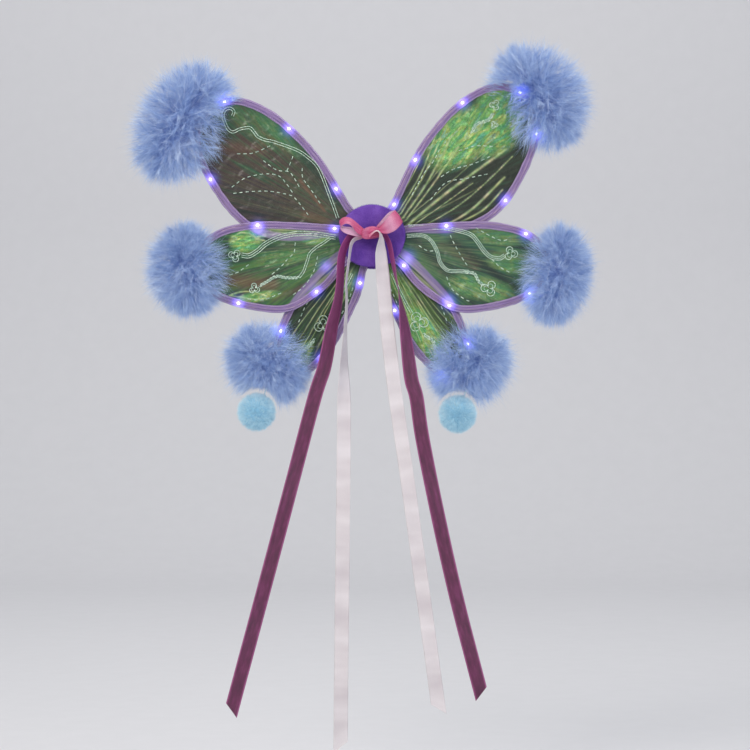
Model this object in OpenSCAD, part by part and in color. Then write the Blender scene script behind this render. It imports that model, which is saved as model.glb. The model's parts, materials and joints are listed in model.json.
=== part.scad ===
// Fairy wings: six wired film wings on a felt hub, with shoulder loops, a bow, ribbon tails and lights.
// +Z is up, the front faces -Y, and the origin is the middle of the battery case's rear face.

/* [Hub] */
// Diameter of the front felt disc
disc_d = 70; // [69:0.5:72]
// Thickness of each felt disc
felt = 3; // [2:0.25:3]
// Distance from the hub's centre to the line that each wing bends on
bend_r = 36.5; // [36.5:0.1:37.5]

/* [Wings] */
// Angle of the left upper wing above the horizontal
upper_left_angle = 32.5; // [30:0.5:38]
// Angle of the right upper wing above the horizontal
upper_right_angle = 38.5; // [33:0.5:39]
// Angle of the middle wings below the horizontal
middle_angle = 9; // [7:0.5:11]
// Angle of the lower wings below the horizontal
lower_angle = 56.3; // [55:0.1:58]
// Width of the woven edge binding
binding_w = 8; // [7.6:0.1:8.4]
// Thickness of the woven edge binding
binding_t = 3.6; // [3.4:0.1:3.6]
// Diameter of the wire in the wing's edge
wire_d = 1.6; // [1.2:0.1:1.6]
// Thickness of the film
film_t = 0.6; // [0.4:0.1:0.8]

/* [Trim] */
// Diameter of a pom-pom
pompom_d = 41; // [38:0.5:42]
// Width of a ribbon tail
ribbon_w = 15; // [12:0.5:15.5]
// Thickness of a ribbon
ribbon_t = 0.6; // [0.4:0.1:0.8]

/* [Straps] */
// How far a shoulder loop reaches behind the hub
strap_reach = 105; // [90:1:120]
// Width of the elastic
strap_w = 7; // [6:0.5:7]

/* [Battery case] */
// Depth of the battery case
case_depth = 12; // [12:0.5:13]

/* [Hidden] */
$fn = 64;

// Colours
felt_purple = "#5f3c9b";
lilac = "#8a68a8";
steel = "#b8bcc4";
iridescent = "#5f9a5c";
copper = "#c8875a";
feather_blue = "#7d95cf";
pompom_blue = "#8ec3df";
bow_pink = "#d2668c";
satin_pale = "#d9cdd6";
sheer_magenta = "#7a3868";
elastic_purple = "#35204f";
case_white = "#e9e9ec";

// Layers from front to back, each at its middle or its face
back_disc_front = -case_depth - felt;
rear_layer = back_disc_front - 2;
mid_layer = rear_layer - 5;
front_disc_back = mid_layer - 3;
front_disc_front = front_disc_back - felt;

// Wings: [angle, side (+1 right, -1 left), layer, family]
UL = [upper_left_angle, -1, rear_layer, 0];
UR = [upper_right_angle, 1, rear_layer, 0];
ML = [-middle_angle, -1, mid_layer, 1];
MR = [-middle_angle, 1, mid_layer, 1];
LL = [-lower_angle, -1, rear_layer, 2];
LR = [-lower_angle, 1, rear_layer, 2];

// Centre line of the edge binding of each family, from the upper root round the tip to the lower root,
// as [distance out from the hub, distance across]
outline = [
    [[33, 9], [57, 21], [81, 33], [105, 42], [128, 47.5], [152, 51], [178, 50], [200, 43], [215, 27],
     [219, 4], [208, -18], [190, -33], [170, -44], [147, -54], [128, -59], [107, -60], [80, -52],
     [50, -31], [33, -13]],
    [[33, 13], [58, 19], [86, 25], [113, 30], [135, 31], [156, 29], [174, 21], [186, 6], [187, -12],
     [179, -28], [163, -41], [142, -51], [121, -58], [107, -61], [93, -60], [78, -54], [62, -46],
     [48, -36], [33, -20]],
    [[33, 18], [50, 22], [68, 25], [92, 29], [112, 29], [136, 25], [160, 17], [178, 6], [184, -5],
     [176, -15], [158, -21], [144, -25], [125, -28], [103, -27], [82, -24], [57, -20], [33, -10]]
];
// How far past the bend line the moving part of a wing starts, and how far before it the root ends
wing_gap = 1.2;
root_gap = 1.6;
wire_inner = 7;
sleeve_inner = 14;
sleeve_w = 6;
sleeve_t = 3.2;

// Channel inside the binding
channel_w = 5.6;
channel_t = 2.4;
led_wire_d = 0.6;
led_d = 1.2;
wire_shift = -1.4;
led_shift = 1;
lamp_shift = 1.95;

// Feather clusters: [out from the hub, across, half length, half width, half depth]
feather_size = [[[228, -6, 54, 70, 33], [225, 5, 56, 60, 33]],
                [[196, -5, 44, 48, 30], [196, -10, 38, 52, 30]],
                [[171, 17, 42, 45, 28], [168, 10.5, 42, 44, 28]]];

// Pom-poms: centre as [x, z], and the step along the lower wing's edge that each hangs from
pom_centre = [[-122, -185], [90, -187]];
pom_step = [22, 24];
thread_d = 0.8;
thread_gap = 0.7;
pom_room = 2;
pom_lift = 2;

// Ribbon tails: centre line from the knot down, as [x, z]
left_sheer_path = [[-27.5, -6], [-32, -20], [-33.5, -49], [-36, -70], [-42, -95], [-50, -137], [-61, -172],
                   [-92, -290], [-120, -395], [-146, -492]];
left_satin_path = [[-19, -6], [-23, -20], [-27, -49], [-26.5, -68], [-28, -98], [-30, -137], [-31, -190],
                   [-32, -300], [-33, -420], [-33, -530]];
right_satin_path = [[5, -6], [8, -20], [12.5, -59], [15.5, -92], [20, -132], [25, -172], [39, -270],
                    [54, -380], [69, -490]];
right_sheer_path = [[16, -6], [20, -20], [25, -49], [32, -80], [36, -112], [41, -150], [48, -175],
                    [70, -270], [92, -375], [113, -475]];
tail_axis = front_disc_front - 4.2;
tail_shift = 0.9;
// Fixed upper ends of the tails, behind the knot, as [x low, x high] and a depth from the axis
tail_ends_z = [-2.2, 3.2];
tail_ends_x = [[-25, -14, 1], [-18, -8.5, -1], [4.5, 1.5, -1], [15.5, 9, 1]];

// Shoulder loops
strap_x = 17.5;
strap_pivot = -case_depth + 4.5;
strap_t = 1.2;
right_strap_rise = 33;
left_strap_rise = 26;

// Battery case, with its middle rear face at the origin
case_w = 23.6;
case_bottom = -13;
case_top = 29;
case_wall = 1.2;
cover_bottom = 1.2;
bay_z = 13;
bay_d = 20.8;
coin_d = 20;
coin_t = 3.2;
cover_t = 1.2;
screw_z = 26;
screw_d = 2;
screw_head_d = 3.6;
lead_d = 1.2;
lead_z = -4;
lead_x = 6;
switch_z = -7;
felt_facets = 72;

// ---- Plane geometry ----

// Catmull-Rom point between b and c at u
function spline_point(a, b, c, d, u) =
    0.5 * (2 * b + (c - a) * u + (2 * a - 5 * b + 4 * c - d) * u * u + (3 * b - a - 3 * c + d) * u * u * u);

// Smooth line through pts with n steps between neighbours
function smooth(pts, n) = let (last = len(pts) - 1) concat(
    [for (i = [0 : last - 1], k = [0 : n - 1])
        spline_point(pts[max(i - 1, 0)], pts[i], pts[i + 1], pts[min(i + 2, last)], k / n)],
    [pts[last]]);

// Unit normal to the left of the line at point i
function side_of(pts, i) =
    let (a = pts[max(i - 1, 0)], b = pts[min(i + 1, len(pts) - 1)], d = (b - a) / norm(b - a))
    [-d[1], d[0]];

// The line moved sideways by w
function shifted(pts, w) = [for (i = [0 : len(pts) - 1]) pts[i] + w * side_of(pts, i)];

function reversed(pts) = [for (i = [len(pts) - 1 : -1 : 0]) pts[i]];

// Flat band of width w along the line
module band(pts, w) {
    polygon(concat(shifted(pts, w / 2), reversed(shifted(pts, -w / 2))));
}

// Round tube along the line in the plane, with the given number of sides
module tube(pts, d, sides) {
    n = len(pts);
    rings = [for (i = [0 : n - 1], k = [0 : sides - 1])
        let (s = side_of(pts, i), a = 360 * k / sides)
        [pts[i][0] + s[0] * cos(a) * d / 2, pts[i][1] + s[1] * cos(a) * d / 2, sin(a) * d / 2]];
    walls = [for (i = [0 : n - 2], k = [0 : sides - 1])
        let (j = (k + 1) % sides)
        [i * sides + k, (i + 1) * sides + k, (i + 1) * sides + j, i * sides + j]];
    start_cap = [[for (k = [0 : sides - 1]) k]];
    end_cap = [[for (k = [sides - 1 : -1 : 0]) (n - 1) * sides + k]];
    polyhedron(rings, concat(start_cap, walls, end_cap));
}

// Smooth centre line of a wing's edge
edge = [for (family = [0 : 2]) smooth(outline[family], 3)];

// The line cut off where it comes nearer to the hub than s
function beyond(pts, s) = [for (p = pts) if (p[0] >= s) p];

// Where the edge crosses the distance s at its upper (first) or lower (last) root
function crossing(pts, s) = [for (i = [0 : len(pts) - 2])
    if ((pts[i][0] - s) * (pts[i + 1][0] - s) < 0)
        pts[i] + (pts[i + 1] - pts[i]) * (s - pts[i][0]) / (pts[i + 1][0] - pts[i][0])];

// Edge of a wing from its bend line on, with square ends there
function wing_edge(family, s) =
    let (c = crossing(edge[family], s)) concat([c[0]], beyond(edge[family], s + 0.5), [c[1]]);

// Puts a wing's own plane into the assembly
module in_wing(wing) {
    scale_x = wing[1] < 0 ? 1 : 0;
    mirror([scale_x, 0, 0])
    translate([0, wing[2], 0])
    rotate([0, -wing[0], 0])
    rotate([90, 0, 0])
    children();
}

// A point of a wing's plane, as [x, z] of the assembly
function in_front(wing, p) = let (c = cos(wing[0]), s = sin(wing[0]))
    [wing[1] * (p[0] * c - p[1] * s), p[0] * s + p[1] * c];

// Point just off the lower wing's binding that pom-pom i hangs from
lower_wings = [LL, LR];
pom_hang = [for (i = [0, 1])
    in_front(lower_wings[i], shifted(edge[2], binding_w / 2 + thread_gap)[pom_step[i]])];

wing_start = bend_r + wing_gap;
root_end = bend_r - root_gap;

// ---- Wings ----

module wing_wire(wing) {
    color(steel)
    in_wing(wing)
    tube(shifted(wing_edge(wing[3], wing_start), wire_shift), wire_d, 8);
}

module wing_binding(wing) {
    line = wing_edge(wing[3], wing_start);
    color(lilac)
    in_wing(wing)
    difference() {
        linear_extrude(height = binding_t, center = true) band(line, binding_w);
        linear_extrude(height = channel_t, center = true)
            band(concat([line[0] - [1, 0]], line, [line[len(line) - 1] - [1, 0]]), channel_w);
    }
}

module wing_film(wing) {
    line = shifted(wing_edge(wing[3], wing_start), -binding_w / 2);
    color(iridescent, 0.75)
    in_wing(wing)
    linear_extrude(height = film_t, center = true) polygon(line);
}

module wing_leds(wing) {
    line = wing_edge(wing[3], wing_start);
    lamps = shifted(line, lamp_shift);
    color(copper)
    in_wing(wing) {
        tube(shifted(line, led_shift), led_wire_d, 6);
        for (i = [4 : 5 : len(line) - 4])
            translate([lamps[i][0], lamps[i][1], 0]) sphere(d = led_d, $fn = 24);
    }
}

// Half of an oval with the radii a along and b across
function half_oval(a, b) = [for (t = [-90 : 15 : 90]) [b * cos(t), a * sin(t)]];

module wing_feathers(wing) {
    f = feather_size[wing[3]][wing[1] < 0 ? 0 : 1];
    room = 0.4;
    color(feather_blue)
    in_wing(wing)
    difference() {
        translate([f[0], f[1], 0])
        rotate([90, 0, 0])
        intersection() {
            rotate_extrude($fn = 64) polygon(half_oval(f[3], f[2]));
            cube([3 * f[2], 2 * f[4], 3 * f[3]], center = true);
        }
        linear_extrude(height = binding_t + 2 * room, center = true)
            polygon(shifted(edge[wing[3]], binding_w / 2 + room));
    }
}

// Lower cluster, with room for its pom-pom and thread to swing
module lower_feathers(i) {
    run = pom_centre[i] - pom_hang[i];
    slot_w = 5;
    deep = 100;
    color(feather_blue)
    difference() {
        wing_feathers(lower_wings[i]);
        translate([pom_centre[i][0], deep / 2, pom_centre[i][1] + pom_lift])
            rotate([90, 0, 0])
            cylinder(d = pompom_d + 2 * pom_room, h = deep);
        translate([pom_hang[i][0], 0, pom_hang[i][1]])
            rotate([0, atan2(run[0], run[1]), 0])
            translate([-slot_w / 2, -deep / 2, -slot_w / 2])
            cube([slot_w, deep, norm(run)]);
    }
}

// ---- Hub ----

// Felt disc seen from the front, its lower edge slightly wavy
module front_disc() {
    r = disc_d / 2;
    color(felt_purple)
    translate([0, front_disc_back, 0])
    rotate([90, 0, 0])
    linear_extrude(height = felt)
    polygon([for (i = [0 : felt_facets - 1])
        let (a = 360 * i / felt_facets, wave = a > 180 ? 0.5 * sin(5 * a) : 0)
        [(r + wave) * cos(a), (0.94 * r + wave) * sin(a)]]);
}

module back_disc() {
    color(felt_purple)
    difference() {
        translate([0, -case_depth, 0]) rotate([90, 0, 0]) cylinder(d = disc_d - 2, h = felt);
        translate([lead_x, 0, lead_z]) rotate([90, 0, 0]) cylinder(d = lead_d, h = 40, $fn = 24);
    }
}

// Root ends of one wing's two edge legs, as [outer end, inner end] in the wing's plane
function root_legs(family) =
    let (c = crossing(edge[family], root_end + 0.01))
    [for (p = c) [[root_end, p[1]], [wire_inner, p[1] * 0.25]]];

module root_wires(wing, d) {
    in_wing(wing)
    for (leg = root_legs(wing[3])) {
        run = leg[0] - leg[1];
        translate([leg[1][0], leg[1][1], 0])
        rotate([0, 0, atan2(run[1], run[0])])
        rotate([0, 90, 0])
        cylinder(d = d, h = norm(run), $fn = 24);
    }
}

all_wings = [UL, UR, ML, MR, LL, LR];

module wire_roots() {
    color(steel)
    for (wing = all_wings) root_wires(wing, wire_d);
}

// Ends of the bindings between the felt discs, each a short flat sleeve over a wire
module binding_roots() {
    color(lilac)
    difference() {
        for (wing = all_wings) in_wing(wing) for (leg = root_legs(wing[3])) {
            run = leg[0] - leg[1];
            sleeve = norm(run) - sleeve_inner + wire_inner;
            translate([leg[1][0], leg[1][1], 0])
            rotate([0, 0, atan2(run[1], run[0])])
            translate([norm(run) - sleeve / 2, 0, 0])
            cube([sleeve, sleeve_w, sleeve_t], center = true);
        }
        for (wing = all_wings) root_wires(wing, wire_d);
    }
}

// Glue plug that holds all twelve wire ends
module hub_core() {
    color("#e8e2d0")
    difference() {
        translate([0, back_disc_front, 0]) rotate([90, 0, 0])
            cylinder(r = 11, h = back_disc_front - front_disc_back, $fn = 48);
        for (wing = all_wings) root_wires(wing, wire_d);
    }
}

// ---- Pom-poms ----

module thread(i) {
    run = pom_centre[i] - pom_hang[i];
    color(feather_blue)
    translate([pom_hang[i][0], rear_layer, pom_hang[i][1]])
    rotate([0, atan2(run[0], run[1]), 0])
    cylinder(d = thread_d, h = norm(run) - pompom_d / 2 + 5, $fn = 24);
}

module pompom(i) {
    color(pompom_blue)
    difference() {
        translate([pom_centre[i][0], rear_layer, pom_centre[i][1]]) sphere(d = pompom_d);
        thread(i);
    }
}

// ---- Bow ----

bow_back = front_disc_front - 6.2;
bow_depth = 10;

module bow_knot() {
    color(bow_pink) {
        translate([-1, bow_back, 2.5])
            rotate([90, 0, 0])
            linear_extrude(height = bow_depth + 2)
            polygon(smooth([[-9, -5.5], [-4, -6.5], [3, -6.5], [9, -5], [10, 0], [9, 5], [3, 6], [-4, 5.5],
                            [-9, 5], [-10, 0], [-9, -5.5]], 3));
        // Tuck behind the knot, sewn to the disc
        translate([-7, bow_back, 3.8]) cube([12, front_disc_front - bow_back, 3.5]);
    }
}

// Folded ribbon loop round the closed line pts
module bow_loop(pts) {
    line = smooth(pts, 3);
    color(bow_pink)
    translate([0, bow_back - 1, 0])
    rotate([90, 0, 0])
    linear_extrude(height = bow_depth)
    difference() {
        polygon(line);
        polygon(shifted(line, 1.2));
    }
}

module bow_loop_left() {
    bow_loop([[-10.5, 9], [-17, 13], [-24, 18], [-30, 18], [-34, 12], [-32, 6], [-26, 3], [-18, 5],
              [-10.5, 6]]);
}

module bow_loop_right() {
    bow_loop([[8.4, 2.5], [16, 3], [24, 5], [30, 9], [32, 16], [29, 24], [22, 25], [15, 17], [8.4, 6.5]]);
}

// ---- Ribbon tails ----

// Tail with a slanted end; the end's low corner is on the side given by slant
module tail(pts, y, slant) {
    line = smooth(pts, 3);
    n = len(line) - 1;
    outer = shifted(line, ribbon_w / 2);
    inner = shifted(line, -ribbon_w / 2);
    drop = 12 * (line[n] - line[n - 1]) / norm(line[n] - line[n - 1]);
    tip = slant > 0 ? [outer[n] + drop] : [inner[n] + drop];
    translate([0, y + ribbon_t / 2, 0])
    rotate([90, 0, 0])
    linear_extrude(height = ribbon_t)
    polygon(concat(outer, tip, reversed(inner)));
}

module left_sheer_tail() {
    color(sheer_magenta, 0.8) tail(left_sheer_path, tail_axis + tail_shift, 1);
}

module left_satin_tail() {
    color(satin_pale) tail(left_satin_path, tail_axis - tail_shift, -1);
}

module right_satin_tail() {
    color(satin_pale) tail(right_satin_path, tail_axis - tail_shift, 1);
}

module right_sheer_tail() {
    color(sheer_magenta, 0.8) tail(right_sheer_path, tail_axis + tail_shift, -1);
}

// Upper ends of the four tails, gathered behind the knot and cut level at both ends
module tail_ends() {
    low = tail_ends_z[0];
    top = tail_ends_z[1];
    half = 0.3 * ribbon_w;
    color(satin_pale)
    for (e = tail_ends_x)
        translate([0, tail_axis + e[2] * tail_shift + ribbon_t / 2, 0])
        rotate([90, 0, 0])
        linear_extrude(height = ribbon_t)
        polygon([[e[0] - half, low], [e[0] + half, low], [e[1] + half, top], [e[1] - half, top]]);
}

// ---- Shoulder loops ----

// Side view of a loop, as [y, z], with its top at the height rise
function strap_line(rise) = smooth([
    [strap_pivot, 23], [strap_pivot + 4, 0.85 * rise + 3], [strap_pivot + 13, rise],
    [0.3 * strap_reach, 0.98 * rise], [0.6 * strap_reach, 0.75 * rise], [0.87 * strap_reach, 0.35 * rise],
    [strap_reach, -0.2 * rise], [0.87 * strap_reach, -0.85 * rise], [0.6 * strap_reach, -1.15 * rise],
    [0.3 * strap_reach, -1.2 * rise], [strap_pivot + 10, -1.1 * rise], [strap_pivot, -23]], 4);

module strap(x, rise) {
    color(elastic_purple)
    translate([x - strap_w / 2, 0, 0])
    rotate([90, 0, 90])
    linear_extrude(height = strap_w)
    band(strap_line(rise), strap_t);
}

module left_strap() {
    strap(-strap_x, left_strap_rise);
}

module right_strap() {
    strap(strap_x, right_strap_rise);
}

// Sewn patches that hold the strap ends on the back disc
module strap_patches() {
    color(elastic_purple)
    for (x = [-strap_x, strap_x], z = [-23, 23])
        translate([x - strap_w / 2, -case_depth, z - 3.5]) cube([strap_w, 1.4, 7]);
}

// ---- Battery case ----

module rounded_plate(w, h, depth, r) {
    rotate([90, 0, 0])
    linear_extrude(height = depth)
    union() {
        square([w - 2 * r, h], center = true);
        square([w, h - 2 * r], center = true);
        for (x = [-1, 1], y = [-1, 1]) translate([x * (w / 2 - r), y * (h / 2 - r)]) circle(r = r, $fn = 32);
    }
}

// Straight bore or rod along Y between two depths
module along_y(x, z, d, y0, y1) {
    translate([x, y1, z]) rotate([90, 0, 0]) cylinder(d = d, h = y1 - y0);
}

module battery_case() {
    h = case_top - case_bottom;
    floor_y = -case_depth + case_wall;
    color(case_white)
    difference() {
        translate([0, 0, (case_top + case_bottom) / 2]) rounded_plate(case_w, h, case_depth, 3);
        // Recess of the cover
        translate([-case_w, -cover_t, cover_bottom]) cube([2 * case_w, 5, h]);
        // Bay of the coin cells
        along_y(0, bay_z, bay_d, floor_y, 1);
        // Recess of the side contact
        translate([-2.5, floor_y, bay_z - 11.4]) cube([5, case_depth - case_wall - cover_t - 1, 3]);
        // Chamber of the switch and the lead
        translate([-9.6, floor_y, case_bottom + 1.4]) cube([19.2, case_depth - 2 * case_wall, 10.4]);
        // Slot of the slider
        translate([-4, -5, switch_z - 1.5]) cube([8, 6, 3]);
        // Hole of the lead and of the screw
        along_y(lead_x, lead_z, lead_d, -2 * case_depth, floor_y + 1);
        along_y(0, screw_z, screw_d, -8, 1);
    }
}

module battery_cover() {
    h = case_top - cover_bottom - 0.2;
    color(case_white)
    difference() {
        translate([0, 0, case_top - h / 2]) rounded_plate(case_w, h, cover_t, 3);
        along_y(0, screw_z, screw_d + 0.1, -5, 5);
        along_y(0, screw_z, screw_head_d + 0.1, -0.6, 5);
        // Grip grooves
        for (z = [0 : 3]) translate([-5, -0.3, cover_bottom + 4 + 2.5 * z]) cube([10, 1, 1]);
    }
}

module cover_screw() {
    color(steel)
    difference() {
        union() {
            along_y(0, screw_z, screw_head_d, -0.6, -0.05);
            along_y(0, screw_z, screw_d - 0.06, -7.5, -0.1);
        }
        translate([-3, -0.3, screw_z - 0.25]) cube([6, 1, 0.5]);
    }
}

coin_back = -2.6;

module coin_cells() {
    color("#c9ccd0")
    for (i = [0, 1]) along_y(0, bay_z, coin_d, coin_back - (i + 1) * coin_t, coin_back - i * coin_t);
}

module spring_contact() {
    floor_y = -case_depth + case_wall;
    coin_front = coin_back - 2 * coin_t;
    color("#d6c070")
    difference() {
        along_y(0, bay_z, 9, floor_y, coin_front);
        along_y(0, bay_z, 8, floor_y + 0.3, coin_front - 0.3);
        along_y(0, bay_z, 4, floor_y - 1, floor_y + 1);
    }
}

module side_contact() {
    floor_y = -case_depth + case_wall;
    color("#d6c070")
    translate([-2, floor_y, bay_z - 11.4]) cube([4, 7, 0.9]);
}

module switch_slider() {
    color("#30303a")
    translate([-2.6, 0, switch_z]) {
        translate([0, -2.3, 0]) cube([2.4, 4, 2.4], center = true);
        translate([0.6, -3.1, 0]) cube([6, 3.6, 5], center = true);
    }
}

module led_lead() {
    color(copper)
    along_y(lead_x, lead_z, lead_d, back_disc_front, -case_depth + 5);
}

// ---- Nodes ----

front_disc();
back_disc();
hub_core();
wire_roots();
binding_roots();
wing_wire(UL);  // upper_left_wire
wing_binding(UL);  // upper_left_binding
wing_film(UL);  // upper_left_film
wing_leds(UL);  // upper_left_leds
wing_feathers(UL);  // upper_left_feathers
wing_wire(UR);  // upper_right_wire
wing_binding(UR);  // upper_right_binding
wing_film(UR);  // upper_right_film
wing_leds(UR);  // upper_right_leds
wing_feathers(UR);  // upper_right_feathers
wing_wire(ML);  // middle_left_wire
wing_binding(ML);  // middle_left_binding
wing_film(ML);  // middle_left_film
wing_leds(ML);  // middle_left_leds
wing_feathers(ML);  // middle_left_feathers
wing_wire(MR);  // middle_right_wire
wing_binding(MR);  // middle_right_binding
wing_film(MR);  // middle_right_film
wing_leds(MR);  // middle_right_leds
wing_feathers(MR);  // middle_right_feathers
wing_wire(LL);  // lower_left_wire
wing_binding(LL);  // lower_left_binding
wing_film(LL);  // lower_left_film
wing_leds(LL);  // lower_left_leds
lower_feathers(0);  // lower_left_feathers
wing_wire(LR);  // lower_right_wire
wing_binding(LR);  // lower_right_binding
wing_film(LR);  // lower_right_film
wing_leds(LR);  // lower_right_leds
lower_feathers(1);  // lower_right_feathers
thread(0);  // left_thread
pompom(0);  // left_pompom
thread(1);  // right_thread
pompom(1);  // right_pompom
bow_knot();
bow_loop_left();
bow_loop_right();
tail_ends();
left_satin_tail();
right_satin_tail();
left_sheer_tail();
right_sheer_tail();
strap_patches();
left_strap();
right_strap();
battery_case();
battery_cover();
cover_screw();
coin_cells();
spring_contact();
side_contact();
switch_slider();
led_lead();
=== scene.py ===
"""Fairy wings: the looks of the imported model. Shapes are worked out in millimetres and put down in metres."""

import json
import math

import bpy
import numpy as np
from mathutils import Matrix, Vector


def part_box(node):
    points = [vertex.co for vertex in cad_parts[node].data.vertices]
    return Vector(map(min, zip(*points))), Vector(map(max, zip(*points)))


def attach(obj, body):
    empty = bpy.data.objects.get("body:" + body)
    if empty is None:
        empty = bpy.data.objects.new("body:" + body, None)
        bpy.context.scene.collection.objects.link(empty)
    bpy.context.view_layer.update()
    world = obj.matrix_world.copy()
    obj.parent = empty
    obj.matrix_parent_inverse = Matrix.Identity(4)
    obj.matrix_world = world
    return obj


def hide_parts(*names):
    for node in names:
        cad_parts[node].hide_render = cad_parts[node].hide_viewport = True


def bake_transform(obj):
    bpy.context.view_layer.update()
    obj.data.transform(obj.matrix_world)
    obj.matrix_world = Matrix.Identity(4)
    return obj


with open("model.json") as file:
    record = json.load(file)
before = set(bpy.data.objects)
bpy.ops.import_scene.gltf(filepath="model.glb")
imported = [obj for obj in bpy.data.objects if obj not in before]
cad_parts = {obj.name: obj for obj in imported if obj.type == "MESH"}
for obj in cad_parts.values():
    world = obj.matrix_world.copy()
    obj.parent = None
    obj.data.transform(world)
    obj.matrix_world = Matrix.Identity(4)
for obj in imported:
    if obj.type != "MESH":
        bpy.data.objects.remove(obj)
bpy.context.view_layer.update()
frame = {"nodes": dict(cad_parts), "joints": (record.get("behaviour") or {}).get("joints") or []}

MM = 0.001
FRONT = np.array([0.0, -1.0, 0.0])


# ---------------------------------------------------------------- camera

def node_box(name):
    """Lowest and highest corner of a CAD node, in millimetres."""
    low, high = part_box(name)
    return np.array(low) / MM, np.array(high) / MM


def joint_named(name):
    return next(j for j in frame["joints"] if j["name"] == name)


def joint_place(name):
    """The point about which a joint turns, in millimetres."""
    return np.array(joint_named(name)["pos_m"]) / MM


VIEW_CENTRE = Vector((0.003, node_box("front_disc")[0][1] * MM, -0.146))
VIEW_DISTANCE = 2.6
VIEW_WIDTH = 0.7875
SENSOR = 36.0

camera_data = bpy.data.cameras.new("camera")
camera_data.sensor_width = SENSOR
camera_data.lens = SENSOR * VIEW_DISTANCE / VIEW_WIDTH
camera_data.clip_end = 30
camera = bpy.data.objects.new("camera", camera_data)
camera.location = VIEW_CENTRE + Vector((0, -VIEW_DISTANCE, 0))
camera.rotation_euler = (math.radians(90), 0, 0)
bpy.context.scene.collection.objects.link(camera)
bpy.context.scene.camera = camera


# ---------------------------------------------------------------- colours and nodes

def colour(code):
    """Linear RGBA of a hex colour."""
    def linear(v):
        return v / 12.92 if v <= 0.04045 else ((v + 0.055) / 1.055) ** 2.4
    return tuple(linear(int(code[i:i + 2], 16) / 255) for i in (1, 3, 5)) + (1.0,)


class Shader:
    """A small builder for node materials."""

    def __init__(self, name):
        self.material = bpy.data.materials.new(name)
        self.material.use_nodes = True
        self.tree = self.material.node_tree
        self.bsdf = self.tree.nodes["Principled BSDF"]

    def node(self, kind, **settings):
        made = self.tree.nodes.new("ShaderNode" + kind)
        for key, value in settings.items():
            setattr(made, key, value)
        return made

    def link(self, source, target):
        self.tree.links.new(source, target)
        return target

    def put(self, target, value):
        """Sets a socket to a number or a colour, or links it to another socket."""
        if isinstance(value, bpy.types.NodeSocket):
            self.link(value, target)
        else:
            target.default_value = value

    def set(self, **inputs):
        for key, value in inputs.items():
            self.put(self.bsdf.inputs[key.replace("_", " ")], value)
        return self

    def attribute(self, name, output="Fac"):
        return self.node("Attribute", attribute_name=name).outputs[output]

    def coordinates(self, scale=(1, 1, 1), uv=None, rotation=(0, 0, 0)):
        """Object or UV coordinates times scale."""
        source = self.node("UVMap", uv_map=uv).outputs[0] if uv else self.node("TexCoord").outputs["Object"]
        mapping = self.node("Mapping")
        mapping.inputs["Scale"].default_value = scale
        mapping.inputs["Rotation"].default_value = rotation
        self.link(source, mapping.inputs["Vector"])
        return mapping.outputs["Vector"]

    def noise(self, vector, scale, detail=3.0, distortion=0.0, rough=0.55):
        made = self.node("TexNoise")
        made.inputs["Scale"].default_value = scale
        made.inputs["Detail"].default_value = detail
        made.inputs["Roughness"].default_value = rough
        made.inputs["Distortion"].default_value = distortion
        self.link(vector, made.inputs["Vector"])
        return made.outputs["Fac"]

    def wave(self, vector, scale, direction="X", distortion=0.0, detail=2.0):
        made = self.node("TexWave", bands_direction=direction)
        made.inputs["Scale"].default_value = scale
        made.inputs["Distortion"].default_value = distortion
        made.inputs["Detail"].default_value = detail
        self.link(vector, made.inputs["Vector"])
        return made.outputs["Fac"]

    def ramp(self, value, stops):
        """Colour ramp through (position, colour) stops."""
        made = self.node("ValToRGB")
        elements = made.color_ramp.elements
        while len(elements) < len(stops):
            elements.new(0.5)
        for element, (position, code) in zip(elements, stops):
            element.position = position
            element.color = colour(code) if isinstance(code, str) else (code, code, code, 1)
        self.put(made.inputs["Fac"], value)
        return made.outputs["Color"]

    def mix(self, factor, a, b, blend="MIX"):
        made = self.node("Mix", data_type="RGBA", blend_type=blend)
        self.put(made.inputs["Factor"], factor)
        for socket, value in ((made.inputs[6], a), (made.inputs[7], b)):
            self.put(socket, colour(value) if isinstance(value, str) else value)
        return made.outputs[2]

    def math(self, operation, a, b=0.5, c=0.0, clamp=False):
        made = self.node("Math", operation=operation, use_clamp=clamp)
        for socket, value in zip(made.inputs, (a, b, c)):
            self.put(socket, value)
        return made.outputs[0]

    def times(self, a, b):
        return self.math("MULTIPLY", a, b)

    def plus(self, a, b, clamp=False):
        return self.math("ADD", a, b, clamp=clamp)

    def bump(self, height, strength=0.3, distance=0.0005):
        made = self.node("Bump")
        made.inputs["Strength"].default_value = strength
        made.inputs["Distance"].default_value = distance
        self.link(height, made.inputs["Height"])
        self.link(made.outputs["Normal"], self.bsdf.inputs["Normal"])
        return self


# ---------------------------------------------------------------- mesh helpers

def make_piece(name, points, faces, material, smooth=True, attributes=None, uvs=None):
    """A mesh object from points in millimetres. uvs maps a layer's name to one (u, v) for each point."""
    mesh = bpy.data.meshes.new(name)
    mesh.from_pydata((np.asarray(points, float) * MM).tolist(), [], faces)
    mesh.polygons.foreach_set("use_smooth", [smooth] * len(mesh.polygons))
    loop_points = np.zeros(len(mesh.loops), np.int32)
    mesh.loops.foreach_get("vertex_index", loop_points)
    for key, values in (attributes or {}).items():
        layer = mesh.attributes.new(key, "FLOAT", "POINT")
        layer.data.foreach_set("value", np.asarray(values, np.float32))
    for key, values in (uvs or {}).items():
        layer = mesh.uv_layers.new(name=key)
        layer.data.foreach_set("uv", np.asarray(values, np.float32)[loop_points].ravel())
    mesh.materials.append(material)
    mesh.update()
    made = bpy.data.objects.new(name, mesh)
    bpy.context.scene.collection.objects.link(made)
    return made


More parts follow.
